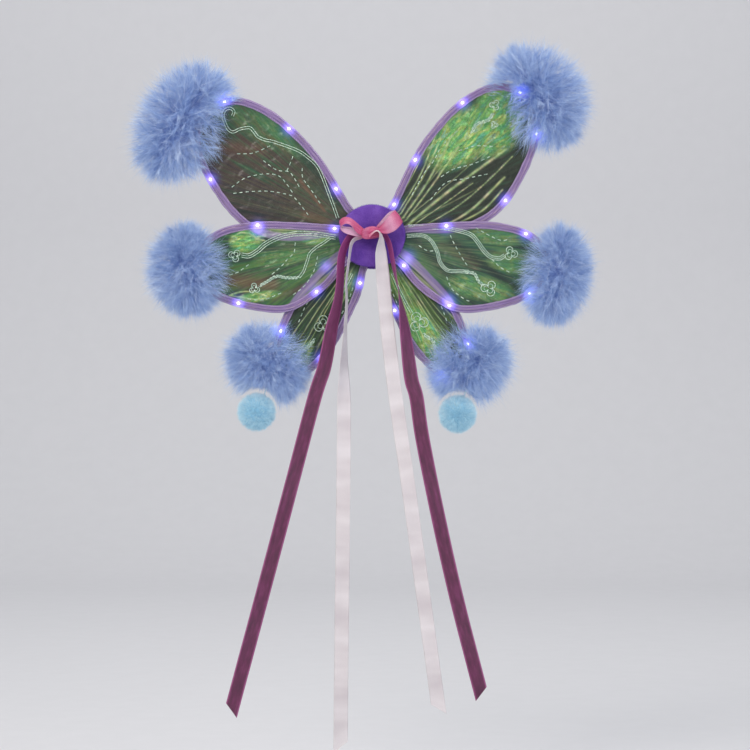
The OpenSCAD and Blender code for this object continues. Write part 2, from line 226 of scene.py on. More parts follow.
def grid_faces(rows, columns, close_rows=False, close_columns=False):
    """Quads between the points of a grid, row by row."""
    i = np.arange(rows if close_rows else rows - 1)
    j = np.arange(columns if close_columns else columns - 1)
    a, b = np.meshgrid(i, j, indexing="ij")
    nexta, nextb = (a + 1) % rows, (b + 1) % columns
    return np.stack([a * columns + b, nexta * columns + b, nexta * columns + nextb, a * columns + nextb],
                    -1).reshape(-1, 4).tolist()


def lengths_along(points):
    steps = np.linalg.norm(np.diff(points, axis=0), axis=1)
    return np.concatenate([[0], np.cumsum(steps)])


def resample(points, count):
    """The line through points with count evenly spaced points."""
    points = np.asarray(points, float)
    at = lengths_along(points)
    new = np.linspace(0, at[-1], count)
    return np.stack([np.interp(new, at, points[:, k]) for k in range(points.shape[1])], 1)


def soften(points, passes=6):
    """Evens out the corners of a line and keeps its ends."""
    points = np.array(points, float)
    for _ in range(passes):
        points[1:-1] = 0.25 * points[:-2] + 0.5 * points[1:-1] + 0.25 * points[2:]
    return points


def curve_through(points, count):
    """Smooth Catmull-Rom line through a few points, evenly resampled."""
    p = np.asarray(points, float)
    p = np.vstack([2 * p[0] - p[1], p, 2 * p[-1] - p[-2]])
    out = []
    for i in range(1, len(p) - 2):
        for u in np.linspace(0, 1, 24, endpoint=False):
            a, b, c, d = p[i - 1], p[i], p[i + 1], p[i + 2]
            out.append(0.5 * (2 * b + (c - a) * u + (2 * a - 5 * b + 4 * c - d) * u ** 2
                              + (3 * b - a - 3 * c + d) * u ** 3))
    out.append(p[-2])
    return resample(out, count)


def tangents(points):
    t = np.gradient(points, axis=0)
    return t / np.maximum(np.linalg.norm(t, axis=1, keepdims=True), 1e-9)


def round_ring(sides, radius):
    """Corners of a regular polygon."""
    turns = np.linspace(0, 2 * np.pi, sides, endpoint=False)
    return np.array([[math.cos(a), math.sin(a)] for a in turns]) * radius


def unit(v):
    return v / np.maximum(np.linalg.norm(v, axis=-1, keepdims=True), 1e-9)


def tube_mesh(path, profile_of, across, up):
    """Points and faces of a closed tube. profile_of(i) gives a ring's (across, up) offsets."""
    rings = [path[i] + np.outer(p[:, 0], across[i]) + np.outer(p[:, 1], up[i])
             for i, p in ((i, np.asarray(profile_of(i))) for i in range(len(path)))]
    sides = len(rings[0])
    points = np.vstack(rings)
    faces = grid_faces(len(path), sides, close_columns=True)
    faces.append(list(range(sides))[::-1])
    faces.append(list(range((len(path) - 1) * sides, len(path) * sides)))
    return points, faces


def ribbon_mesh(path, width_direction, width, thickness, crown=0.0, across=9):
    """A thin closed strip along path. width may be a number or one value a point."""
    n = len(path)
    side = unit(width_direction)
    ahead = tangents(path)
    side = unit(side - ahead * np.sum(side * ahead, 1, keepdims=True))
    normal = np.cross(ahead, side)
    width = np.broadcast_to(np.asarray(width, float), (n,))
    q = np.linspace(-1, 1, across)
    lift = crown * (1 - q ** 2)
    rings = []
    for sign in (1, -1):
        offset = q if sign > 0 else q[::-1]
        raised = (lift if sign > 0 else lift[::-1]) + sign * thickness / 2
        rings.append(path[:, None, :] + side[:, None, :] * (offset[None, :, None] * width[:, None, None] / 2)
                     + normal[:, None, :] * raised[None, :, None])
    points = np.concatenate(rings, axis=1)
    sides = points.shape[1]
    faces = grid_faces(n, sides, close_columns=True)
    faces.append(list(range(sides))[::-1])
    faces.append(list(range((n - 1) * sides, n * sides)))
    u = np.concatenate([(q + 1) / 2, (q[::-1] + 1) / 2])
    v = lengths_along(path)
    uv = np.stack(np.broadcast_arrays(u[None, :] * np.mean(width), v[:, None]), -1).reshape(-1, 2)
    face_side = np.tile(np.concatenate([np.zeros(across), np.ones(across)]), n)
    edge = np.tile(np.concatenate([np.abs(q), np.abs(q[::-1])]), n)
    return points.reshape(-1, 3), faces, uv, face_side, edge


# ---------------------------------------------------------------- wings

class Wing:
    """One wing's place, from its bend joint, and its outline, from its CAD film."""

    def __init__(self, name):
        joint = joint_named(name + "_bend")
        x, y, z = (v / MM for v in joint["pos_m"])
        self.name = name
        self.body = name + "_wing"
        self.side = 1 if x > 0 else -1
        self.layer = y
        self.bend = math.hypot(x, z)
        self.cos, self.sin = abs(x) / self.bend, z / self.bend
        self.family = name.split("_")[0]
        self.film_edge = self.read_outline()
        self.line = self.offset(self.film_edge, 4.0)

    def local(self, p):
        """(out, across, front) of points given in the row frame."""
        x, z = p[:, 0] * self.side, p[:, 2]
        return np.stack([x * self.cos + z * self.sin, z * self.cos - x * self.sin, self.layer - p[:, 1]], 1)

    def world(self, s, t, n=0.0):
        s, t, n = np.broadcast_arrays(np.asarray(s, float), np.asarray(t, float), np.asarray(n, float))
        return np.stack([self.side * (s * self.cos - t * self.sin), self.layer - n,
                         s * self.sin + t * self.cos], -1)

    def read_outline(self):
        mesh = frame["nodes"][self.name + "_film"].data
        points = np.array([v.co for v in mesh.vertices]) / MM
        flat = np.unique(np.round(self.local(points)[:, :2], 3), axis=0)
        middle = flat.mean(0)
        turn = np.arctan2(flat[:, 1] - middle[1], flat[:, 0] - middle[0])
        flat = flat[np.argsort(-turn)]
        root = flat[:, 0] < flat[:, 0].min() + 0.3
        first = max(np.flatnonzero(root), key=lambda i: flat[i, 1])
        return soften(resample(np.roll(flat, -first, axis=0), 300), 30)

    def offset(self, line, distance):
        t = tangents(line)
        return line + distance * np.stack([-t[:, 1], t[:, 0]], 1)

    def blend(self, piece):
        """Bakes piece's place into its mesh; it does not bend the piece."""
        start, end = (Vector(self.world(s, 0.0) * MM) for s in (self.bend - 5, self.bend + 9))
        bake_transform(piece)


# Places of the lights along each wing, as (out, across) near the binding
LIGHTS = {
    "upper_left": [(60, 21), (135, 52), (209, 38), (175, -40), (104, -58)],
    "upper_right": [(38, 13), (86, 36), (162, 49), (222, 24), (205, -25), (134, -58)],
    "middle_left": [(38, 14), (117, 32), (149, -45), (67, -48)],
    "middle_right": [(75, 24), (160, 28), (174, -34), (92, -60), (36, -24)],
    "lower_left": [(53, 24), (136, 25), (136, -28), (48, -17)],
    "lower_right": [(40, 20), (100, 28), (164, -18), (78, -24), (150, 20)],
}

WING_NAMES = list(LIGHTS)
wings = {name: Wing(name) for name in WING_NAMES}


def snap(wing, spot):
    """The nearest point on the binding's centre line."""
    return wing.line[np.argmin(np.linalg.norm(wing.line - np.array(spot), axis=1))]


light_spots = {name: np.array([snap(wings[name], p) for p in LIGHTS[name]]) for name in WING_NAMES}
all_lights = np.vstack([wings[n].world(s[:, 0], s[:, 1], 2.0) for n, s in light_spots.items()])


def glow_at(points, reach):
    """How strongly the lights shine on points given in the row frame, 0 to 1."""
    out = np.zeros(len(points))
    for light in all_lights:
        d2 = np.sum((points - light) ** 2, axis=1)
        out += np.exp(-d2 / reach ** 2)
    return np.clip(out, 0, 1)


def lit(shader, strength):
    """Adds the lights' violet-blue shine to a material."""
    glow = shader.attribute("glow")
    shader.set(Emission_Color=shader.mix(glow, "#2a1ee0", "#8f86ff"),
               Emission_Strength=shader.math("MULTIPLY", glow, strength))


# -- binding

def binding_material():
    m = Shader("woven_binding")
    along = m.coordinates((1, 1, 1), uv="run")
    weave_a = m.wave(along, 0.55, "X")
    weave_b = m.wave(along, 0.8, "Y")
    streak = m.noise(m.coordinates((1.2, 0.06, 1), uv="run"), 1.0, 4)
    base = m.ramp(streak, [(0.25, "#543c78"), (0.5, "#7f62a0"), (0.75, "#a88cbc")])
    base = m.mix(m.times(m.times(weave_a, weave_b), 0.42), base, "#d8c2e0")
    split = m.node("SeparateXYZ")
    m.link(along, split.inputs[0])
    from_middle = m.math("ABSOLUTE", m.math("SUBTRACT", m.math("MODULO", split.outputs["X"], 8.0), 4.0))
    border = m.ramp(m.math("DIVIDE", from_middle, 4.0),
                    [(0.15, 0.15), (0.3, 0.0), (0.62, 0.0), (0.8, 0.6), (1.0, 0.2)])
    base = m.mix(border, base, "#cdb4dc")
    m.set(Base_Color=base, Roughness=0.42, Sheen_Weight=0.5, Sheen_Roughness=0.35, Alpha=0.9)
    m.bsdf.inputs["Sheen Tint"].default_value = colour("#c8b0e6")
    lit(m, 1.9)
    return m.bump(m.plus(weave_a, weave_b), 0.5, 0.0004).material


binding_look = binding_material()


def root_leg(wing, at_start):
    """Points from inside the hub to the binding's root end, in the wing's plane."""
    end = wing.line[0] if at_start else wing.line[-1]
    inner = np.array([13.0, end[1] * 0.45])
    leg = resample(np.array([inner, end]), 16)[:-1]
    return leg if at_start else leg[::-1]


def full_line(wing):
    line = np.vstack([root_leg(wing, True), wing.line, root_leg(wing, False)])
    return soften(resample(line, 340), 14)


def make_binding(wing, seed):
    rng = np.random.default_rng(seed)
    flat = full_line(wing)
    path = wing.world(flat[:, 0], flat[:, 1])
    side_flat = np.stack([-tangents(flat)[:, 1], tangents(flat)[:, 0]], 1)
    origin = wing.world(0, 0)
    across = np.array([wing.world(a, b) - origin for a, b in side_flat])
    up = np.tile(FRONT, (len(flat), 1))
    wobble = soften(rng.normal(0, 1, (len(flat), 3)), 4) * [0.28, 0.35, 0.2]
    q = np.linspace(-1, 1, 11)

    def profile(i):
        half = 3.95 + wobble[i, 0]
        ridge = 0.55 + 1.15 * np.exp(-((q * 4 - wobble[i, 1]) / 1.5) ** 2) + 0.12 * np.sin(9 * q + i * 0.35)
        ridge *= np.sqrt(np.clip(1 - (0.985 * q) ** 4, 0, 1))
        top = np.stack([q * half, ridge], 1)
        return np.vstack([top, np.stack([q[::-1][1:-1] * half, -ridge[::-1][1:-1]], 1)])

    points, faces = tube_mesh(path, profile, across, up)
    sides = len(profile(0))
    run = lengths_along(flat)
    ring_u = np.concatenate([np.linspace(0, 8, 11), np.linspace(8, 16, sides - 11)])
    uv = np.stack(np.broadcast_arrays(ring_u[None, :], run[:, None]), -1).reshape(-1, 2)
    piece = make_piece(wing.name + "_edge_tape", points, faces, binding_look,
                       attributes={"glow": glow_at(points, 6.0)}, uvs={"run": uv})
    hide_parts(wing.name + "_binding", "binding_roots")
    wing.blend(piece)
    return flat


# -- overlock stitches along both borders of the binding

def stitch_material():
    m = Shader("stitch_thread")
    twist = m.wave(m.coordinates((900, 900, 900), rotation=(0.5, 0.6, 0.2)), 1.0)
    m.set(Base_Color=m.mix(twist, "#b59ad2", "#e6daf0"), Roughness=0.5, Sheen_Weight=0.3)
    return m.material


stitch_look = stitch_material()


def thin_rods(starts, ends, bulge, radius):
    """Short arched threads between pairs of points, with five sides."""
    sides, steps = 5, 5
    u = np.linspace(0, 1, steps)
    run = unit(ends - starts)
    side = unit(np.cross(run, bulge))
    points = []
    for k in range(steps):
        middle = starts + (ends - starts) * u[k] + bulge * (4 * u[k] * (1 - u[k]))
        r = radius * (0.5 if k in (0, steps - 1) else 1)
        for a in np.linspace(0, 2 * np.pi, sides, endpoint=False):
            points.append(middle + r * (side * math.cos(a) + unit(bulge) * math.sin(a)))
    points = np.stack(points, 1)
    base = np.array(grid_faces(steps, sides, close_columns=True))
    count = points.shape[1]
    faces = (base[None] + (np.arange(len(points)) * count)[:, None, None]).reshape(-1, 4).tolist()
    caps = np.array([list(range(sides))[::-1], list(range(count - sides, count))])
    faces += (caps[None] + (np.arange(len(points)) * count)[:, None, None]).reshape(-1, sides).tolist()
    return points.reshape(-1, 3), faces


def make_stitches(wing, flat):
    line = resample(flat, int(lengths_along(flat)[-1] / 2.6))
    t = tangents(line)
    normal = np.stack([-t[:, 1], t[:, 0]], 1)
    starts, ends, bulges = [], [], []
    for lift, depth in ((1, 0.5), (-1, 0.5)):
        for border in (-1, 1):
            a = line[:-1] + normal[:-1] * border * 3.5
            b = line[1:] + normal[1:] * border * 2.3
            starts.append(wing.world(a[:, 0], a[:, 1], lift * depth))
            ends.append(wing.world(b[:, 0], b[:, 1], lift * (depth + 0.45)))
            bulges.append(np.tile(FRONT * lift * 0.3, (len(a), 1)))
    points, faces = thin_rods(np.vstack(starts), np.vstack(ends), np.vstack(bulges), 0.17)
    piece = make_piece(wing.name + "_stitching", points, faces, stitch_look)
    wing.blend(piece)


# -- film

# What each film shows: ground colours from dark to light, how far they lean toward the light end at the upper
# edge, the number and strength of the gathered ridges, where they meet at the root and how wide they still are
# there, the bright crinkled patches of painted sheen as (out, across, half length, half width, strength), dark
# bands of painted reflection and shade and warm brown bands as (start, end, half width, strength), and single
# creases as (points, half width)
FILMS = {
    "upper_left": {"ground": ["#150f16", "#37232a", "#43302a", "#2b3c2c", "#27583a"], "lean": 0.12,
                   "ridges": 46, "gain": 0.10, "fan": (0.4, 0.6),
                   "patches": [(160, 32, 46, 12, 0.18)],
                   "dusk": [((50, 8), (105, 30), 7, 0.55), ((90, -30), (150, -38), 9, 0.35)],
                   "warm": [((96, 9), (57, -4), 1.6, 0.7), ((72, -19), (46, -12), 4.5, 0.5),
                            ((150, 12), (190, -8), 7, 0.3)],
                   "creases": []},
    "upper_right": {"ground": ["#0c0c0e", "#17140f", "#221f16", "#1f3524", "#2a5a3a"], "lean": 0.06,
                    "ridges": 3, "gain": 0.5, "fan": (0.6, 0.6),
                    "patches": [(140, 22, 42, 24, 1.0), (172, 8, 34, 24, 0.95), (192, 28, 25, 18, 0.8)],
                    "dusk": [((60, 2), (120, -8), 6, 0.3)], "warm": [],
                    "creases": [([(36, 9), (78, 26), (116, 45)], 0.55), ([(38, 3), (82, 20), (119, 42)], 0.65),
                                ([(36, -1), (84, 17), (122, 36)], 0.7), ([(34, -6), (80, 8), (132, 31)], 0.9),
                                ([(38, -9), (84, 3), (130, 17)], 0.75), ([(44, -18), (76, -20), (118, -22)], 0.45),
                                ([(36, -14), (92, -13), (168, -16)], 1.25),
                                ([(40, -24), (90, -31), (132, -30), (168, -26)], 0.65),
                                ([(60, -38), (100, -43), (148, -38)], 1.05),
                                ([(80, -46), (110, -51), (138, -47)], 0.8)]},
    "middle_left": {"ground": ["#10181a", "#1c3222", "#235230", "#3a6a2c", "#4a4424"], "lean": -0.02,
                    "ridges": 34, "gain": 0.22, "fan": (0.4, 0.6),
                    "patches": [(132, 16, 16, 12, 1.0), (88, 21, 34, 5, 0.9), (58, 8, 14, 7, 0.8),
                                (128, -44, 22, 5, 0.8), (96, -8, 30, 8, 0.3)],
                    "dusk": [((60, -2), (110, 4), 4, 0.5), ((78, -16), (150, -2), 3, 0.35)],
                    "warm": [((158, -22), (112, -34), 8, 0.65), ((70, -40), (112, -48), 5, 0.35)],
                    "creases": [([(158, -38), (148, -36.5), (138, -37), (128, -40.5), (119, -46.4), (127, -47),
                                  (135, -45.5), (146, -42), (158, -38)], 0.7),
                                ([(146, 22), (136, 25), (126, 22), (120, 16), (112, 13)], 0.6)]},
    "middle_right": {"ground": ["#101b1c", "#1d352c", "#2a5540", "#46693c", "#34604e"], "lean": 0.0,
                     "ridges": 30, "gain": 0.20, "fan": (0.4, 0.6),
                     "patches": [(150, -4, 24, 12, 0.35), (120, -36, 34, 12, 0.5), (128, 20, 26, 9, 0.35)],
                     "dusk": [((84, 8), (156, -30), 6, 0.85), ((44, 5), (116, -51), 7, 0.8)],
                     "warm": [((74, 2), (112, -14), 5, 0.25)], "creases": []},
    "lower_left": {"ground": ["#0f100d", "#1c2416", "#20351f", "#2e4c26", "#4a5028"], "lean": 0.0,
                   "ridges": 9, "gain": 1.0, "fan": (0.5, 0.6),
                   "patches": [(150, -8, 20, 10, 0.7), (60, -6, 18, 8, 0.5)],
                   "dusk": [], "warm": [], "creases": []},
    "lower_right": {"ground": ["#11120c", "#242c16", "#38501e", "#55702a", "#5a5a2c"], "lean": 0.0,
                    "ridges": 10, "gain": 0.8, "fan": (0.5, 0.6),
                    "patches": [(118, -10, 40, 13, 1.0), (60, -4, 20, 9, 0.6)],
                    "dusk": [], "warm": [], "creases": []},
}


def film_material(name, ground, lean):
    """Iridescent film, woven across its length. "ridge" marks gathered folds, "bright" the crinkled patches of
    painted sheen and glints, "dusk" the dark bands of painted reflection and shade, "warm" brown bands, "pane" and
    "band" where a wing behind shows through with its film and its binding."""
    m = Shader(name)
    polar = m.coordinates((1, 1, 1), uv="polar")
    streaks = m.noise(m.coordinates((34, 1.1, 1), uv="polar"), 1.0, 4, 0.3)
    broad = m.noise(m.coordinates((5, 1.4, 1), uv="polar"), 1.0, 3, 0.6)
    crinkle = m.noise(m.coordinates((0.35, 1, 1), uv="plane"), 88, 4, 0.6, 0.7)
    shreds = m.noise(m.coordinates((70, 9, 1), uv="polar"), 1.0, 3, 0.8)
    crinkle = m.plus(m.times(crinkle, 0.62), m.times(shreds, 0.38))
    lines = m.wave(m.coordinates((1, 1, 1), uv="plane"), 52, "Y", 1.5, 2)
    away = m.node("SeparateXYZ")
    m.link(m.coordinates((1, 1, 1), uv="plane"), away.inputs[0])
    tilt = m.times(m.plus(away.outputs["Y"], 0.2), lean)
    tone = m.plus(m.plus(m.times(streaks, 0.62), m.times(broad, 0.38)), tilt)
    base = m.ramp(tone, list(zip((0.34, 0.43, 0.5, 0.58, 0.68), ground)))
    # Painted sheen: the bright crinkled patches take a green and gold sheen, with pale painted glints.
    sheen = m.ramp(m.noise(m.coordinates((24, 5, 1), uv="polar"), 1.0, 4, 0.8), [
        (0.3, "#4fb08c"), (0.42, "#4fae5a"), (0.5, "#7cc258"), (0.58, "#b9c85c"), (0.68, "#8fd0b0")])
    sparkle = m.ramp(crinkle, [(0.38, 0.16), (0.5, 0.62), (0.6, 1.0)])
    # Painted dark reflection and shade: the dark bands take the film toward near black.
    base = m.mix(m.attribute("dusk"), base, "#10161c")
    base = m.mix(m.attribute("warm"), base, "#6e4034")
    base = m.mix(m.times(m.attribute("bright"), sparkle), base, sheen)
    painted_glints = m.ramp(m.noise(m.coordinates((0.6, 1, 1), uv="plane"), 150, 2, 0.3, 0.8), [(0.57, 0.0), (0.66, 1.0)])
    base = m.mix(m.times(m.times(painted_glints, m.attribute("bright")), 0.7), base, "#d4ecc4")
    glimmer = m.ramp(streaks, [(0.36, "#3c4438"), (0.5, "#8f9070"), (0.64, "#c2bc98")])
    base = m.mix(m.times(m.attribute("pane"), 0.62), base, glimmer)
    base = m.mix(m.times(m.attribute("band"), 0.62), base, "#9478b4")
    gold = m.ramp(m.noise(polar, 9.0, 2), [(0.35, "#c9cf86"), (0.5, "#a6c884"), (0.62, "#e2d9a4")])
    base = m.mix(m.attribute("ridge"), base, gold)
    base = m.mix(m.times(lines, 0.10), base, "#a8c8b4")
    m.set(Base_Color=base, Roughness=0.34, Alpha=0.95, Specular_IOR_Level=0.28, Coat_Weight=0.12, Coat_Roughness=0.2)
    m.set(Metallic=m.times(m.attribute("bright"), 0.25))
    lit(m, 0.8)
    height = m.plus(m.times(streaks, 1.0), m.times(crinkle, m.attribute("bright")))
    return m.bump(height, 0.5, 0.0010).material


film_looks = {name: film_material(name + "_film_look", FILMS[name]["ground"],
                                  FILMS[name]["lean"]) for name in WING_NAMES}


def film_grid(wing, rows=210, columns=130):
    """(out, across, share left free by the binding) of the film's grid, row by row from the root to the tip."""
    line = wing.offset(wing.film_edge, 2.2)
    tip = int(np.argmax(line[:, 0]))
    upper, lower = resample(line[:tip + 1], rows), resample(line[tip:][::-1], rows)
    hub_upper, hub_lower = root_leg(wing, True), root_leg(wing, False)[::-1]
    upper, lower = np.vstack([hub_upper[6::3], upper]), np.vstack([hub_lower[6::3], lower])
    q = np.linspace(0, 1, columns)
    grid = upper[:, None, :] * (1 - q)[None, :, None] + lower[:, None, :] * q[None, :, None]
    margin = np.minimum(q, 1 - q)[None, :] * np.linalg.norm(upper - lower, axis=1)[:, None]
    steps = np.arange(len(upper))[:, None]
    soft = np.clip(margin / 7, 0, 1) * np.clip(steps / 9, 0, 1) * np.clip((len(upper) - 1 - steps) / 9, 0, 1)
    return grid[..., 0], grid[..., 1], soft


def ridge_field(wing, s, t, seed):
    """The gathered folds, which run straight out from the root and fade, and the single creases, as 0 to 1."""
    rng = np.random.default_rng(seed)
    style = FILMS[wing.name]
    out = np.zeros(s.shape)
    near, far = wing.bend + 10, wing.bend + 0.62 * (s.max() - wing.bend)
    edge_t = lambda at, column: np.interp(at, s[:, column], t[:, column])
    gathered, spread = style["fan"]
    for place in (np.arange(style["ridges"]) + 0.5) / style["ridges"]:
        at = place + rng.normal(0, 0.3 / style["ridges"])
        inner = gathered + spread * (at - gathered)
        t_far = edge_t(far, 0) * (1 - at) + edge_t(far, -1) * at
        t_near = edge_t(near, 0) * (1 - inner) + edge_t(near, -1) * inner
        slope = (t_far - t_near) / (far - near)
        line = t_near + slope * (s - near) + 0.35 * np.sin(s / rng.uniform(8, 22) + rng.uniform(0, 6))
        half = rng.uniform(0.35, 0.75) * (0.8 if style["ridges"] > 15 else 1.0)
        stop = wing.bend + rng.uniform(0.45, 1.0) * (s.max() - wing.bend)
        shown = np.clip((s - wing.bend - rng.uniform(-4, 12)) / 8, 0, 1) * np.clip((stop - s) / 20, 0, 1)
        swell = 0.8 + 0.9 * rng.random() * np.exp(-((s - rng.uniform(near, far)) / 18) ** 2)
        broken = 0.78 + 0.22 * np.sin(s / rng.uniform(2, 6) + rng.uniform(0, 6))
        gap = (t - line) * math.cos(math.atan(slope)) / (half * swell)
        out = np.maximum(out, np.exp(-gap ** 2) * shown * broken * rng.uniform(0.5, 1.0))
    out *= style["gain"]
    for points, half in style["creases"]:
        line = curve_through(points, 90)
        d = np.sqrt(((s.reshape(-1, 1) - line[:, 0]) ** 2
                     + (t.reshape(-1, 1) - line[:, 1]) ** 2).min(1)).reshape(s.shape)
        out = np.maximum(out, 0.9 * np.exp(-(d / half) ** 2) * (0.8 + 0.2 * np.sin(s / 2.7 + line[0, 1])))
    return out


def patch_field(wing, s, t):
    out = np.zeros(s.shape)
    for ps, pt, rs, rt, strength in FILMS[wing.name]["patches"]:
        d = ((s - ps) / rs) ** 2 + ((t - pt) / rt) ** 2
        out = np.maximum(out, strength * np.clip(1.5 - d, 0, 1))
    return out


def stroke_field(strokes, s, t):
    """Soft bands between pairs of points."""
    out = np.zeros(s.shape)
    for start, end, half, strength in strokes:
        start, run = np.array(start, float), np.array(end, float) - np.array(start, float)
        along = np.clip(((s - start[0]) * run[0] + (t - start[1]) * run[1]) / (run @ run), 0, 1)
        d = np.hypot(s - start[0] - along * run[0], t - start[1] - along * run[1])
        out = np.maximum(out, strength * np.exp(-(d / half) ** 2))
    return out


def seen_through(wing, points):
    """Where the wings behind a middle wing show through its film: (their binding, their film), each 0 to 1."""
    band, pane = np.zeros(len(points)), np.zeros(len(points))
    if wing.family != "middle":
        return band, pane
    x, z = points[:, 0], points[:, 2]
    for family in ("upper", "lower"):
        other = wings[family + wing.name[6:]]
        flat = full_line(other)
        line = other.world(flat[:, 0], flat[:, 1])[:, [0, 2]]
        d = np.sqrt(((x[:, None] - line[:, 0]) ** 2 + (z[:, None] - line[:, 1]) ** 2).min(1))
        band = np.maximum(band, 1 / (1 + np.exp((d - 3.9) / 0.25)))
        ahead = np.roll(line, -1, axis=0)
        crosses = (line[:, 1] > z[:, None]) != (ahead[:, 1] > z[:, None])
        rise = np.where(np.abs(ahead[:, 1] - line[:, 1]) < 1e-9, 1e-9, ahead[:, 1] - line[:, 1])
        left = x[:, None] < line[:, 0] + (z[:, None] - line[:, 1]) * (ahead[:, 0] - line[:, 0]) / rise
        pane = np.maximum(pane, (crosses & left).sum(1) % 2)
    return band, pane


def crinkle_height(s, t, seed):
    """Small wrinkles in all directions."""
    rng = np.random.default_rng(seed)
    out = np.zeros(np.shape(s))
    for size in (24, 17, 12, 9, 7, 5.5, 4.5):
        for _ in range(3):
            turn, phase = rng.uniform(0, 6.3), rng.uniform(0, 6.3)
            out += size * 0.011 * np.sin((s * math.cos(turn) + t * math.sin(turn)) * 6.28 / size + phase
                                         + 1.2 * np.sin(s * 6.28 / (size * 3.1) + t * 0.13))
    return out


def make_film(wing, seed):
    s, t, soft = film_grid(wing)
    ridge, bright = ridge_field(wing, s, t, seed), patch_field(wing, s, t)
    height = (0.9 * ridge + crinkle_height(s, t, seed) * (0.5 + bright)) * soft
    rows, columns = s.shape
    thin = 0.07
    front = wing.world(s, t, height + thin).reshape(-1, 3)
    back = wing.world(s, t, height - thin).reshape(-1, 3)
    count = rows * columns
    faces = grid_faces(rows, columns)
    other = [[i + count for i in f[::-1]] for f in faces]
    rim = ([i * columns for i in range(rows)] + [(rows - 1) * columns + j for j in range(1, columns)]
           + [i * columns + columns - 1 for i in range(rows - 2, -1, -1)] + list(range(columns - 2, 0, -1)))
    walls = [[rim[k], rim[(k + 1) % len(rim)], rim[(k + 1) % len(rim)] + count, rim[k] + count][::-1]
             for k in range(len(rim))]
    points = np.vstack([front, back])
    plane = np.stack([s / 60, t / 60], -1).reshape(-1, 2)
    polar = np.stack([np.arctan2(t, s - 5), np.hypot(s, t) / 100], -1).reshape(-1, 2)
    fields = {"ridge": ridge, "bright": bright, "dusk": stroke_field(FILMS[wing.name]["dusk"], s, t),
              "warm": stroke_field(FILMS[wing.name]["warm"], s, t)}
    fields["band"], fields["pane"] = seen_through(wing, front)
    piece = make_piece(wing.name + "_film_sheet", points, faces + other + walls, film_looks[wing.name],
                       attributes={"glow": glow_at(points, 6.5),
                                   **{key: np.tile(np.ravel(values), 2) for key, values in fields.items()}},
                       uvs={"plane": np.tile(plane, (2, 1)), "polar": np.tile(polar, (2, 1))})
    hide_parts(wing.name + "_film")
    wing.blend(piece)
    return lambda a, b: crinkle_height(a, b, seed) * (0.5 + patch_field(wing, a, b))


# -- glitter lines

def glitter_material():
    m = Shader("glitter_line")
    grains = m.node("TexVoronoi")
    grains.inputs["Scale"].default_value = 1700
    m.link(m.coordinates(), grains.inputs["Vector"])
    tone = m.ramp(grains.outputs["Color"], [(0.2, "#7fa392"), (0.5, "#b9d8c4"), (0.8, "#f0fbe8")])
    # A weak emission of the glitter's own tone paints on its sparkle.
    m.set(Base_Color=tone, Metallic=0.2, Roughness=0.35, Emission_Color=tone, Emission_Strength=0.1)
    return m.bump(grains.outputs["Distance"], 0.8, 0.0004).material


glitter_look = glitter_material()


def clover(centre, size, turn):
    """A looping curl with three round leaves that cross at its middle."""
    a = np.linspace(0, 2 * np.pi, 110)
    r = size * np.abs(np.cos(1.5 * a)) ** 0.45
    return np.stack([centre[0] + r * np.cos(a + turn), centre[1] + r * np.sin(a + turn)], 1)


def beads(line, size):
    """A chain of small loops along a line."""
    fine = resample(line, 420)
    run = lengths_along(fine)
    t = tangents(fine)
    normal = np.stack([-t[:, 1], t[:, 0]], 1)
    phase = run * 2 * np.pi / (2.6 * size)
    return fine + normal * (size * np.sin(phase))[:, None] + t * (0.8 * size * np.cos(2 * phase))[:, None]


def dashes(line, on=3.6, off=3.0):
    """Short pieces of a line."""
    fine = resample(curve_through(line, 80), 400)
    at = lengths_along(fine)
    return [fine[(at >= a) & (at <= a + on)] for a in np.arange(0, at[-1] - on, on + off)]


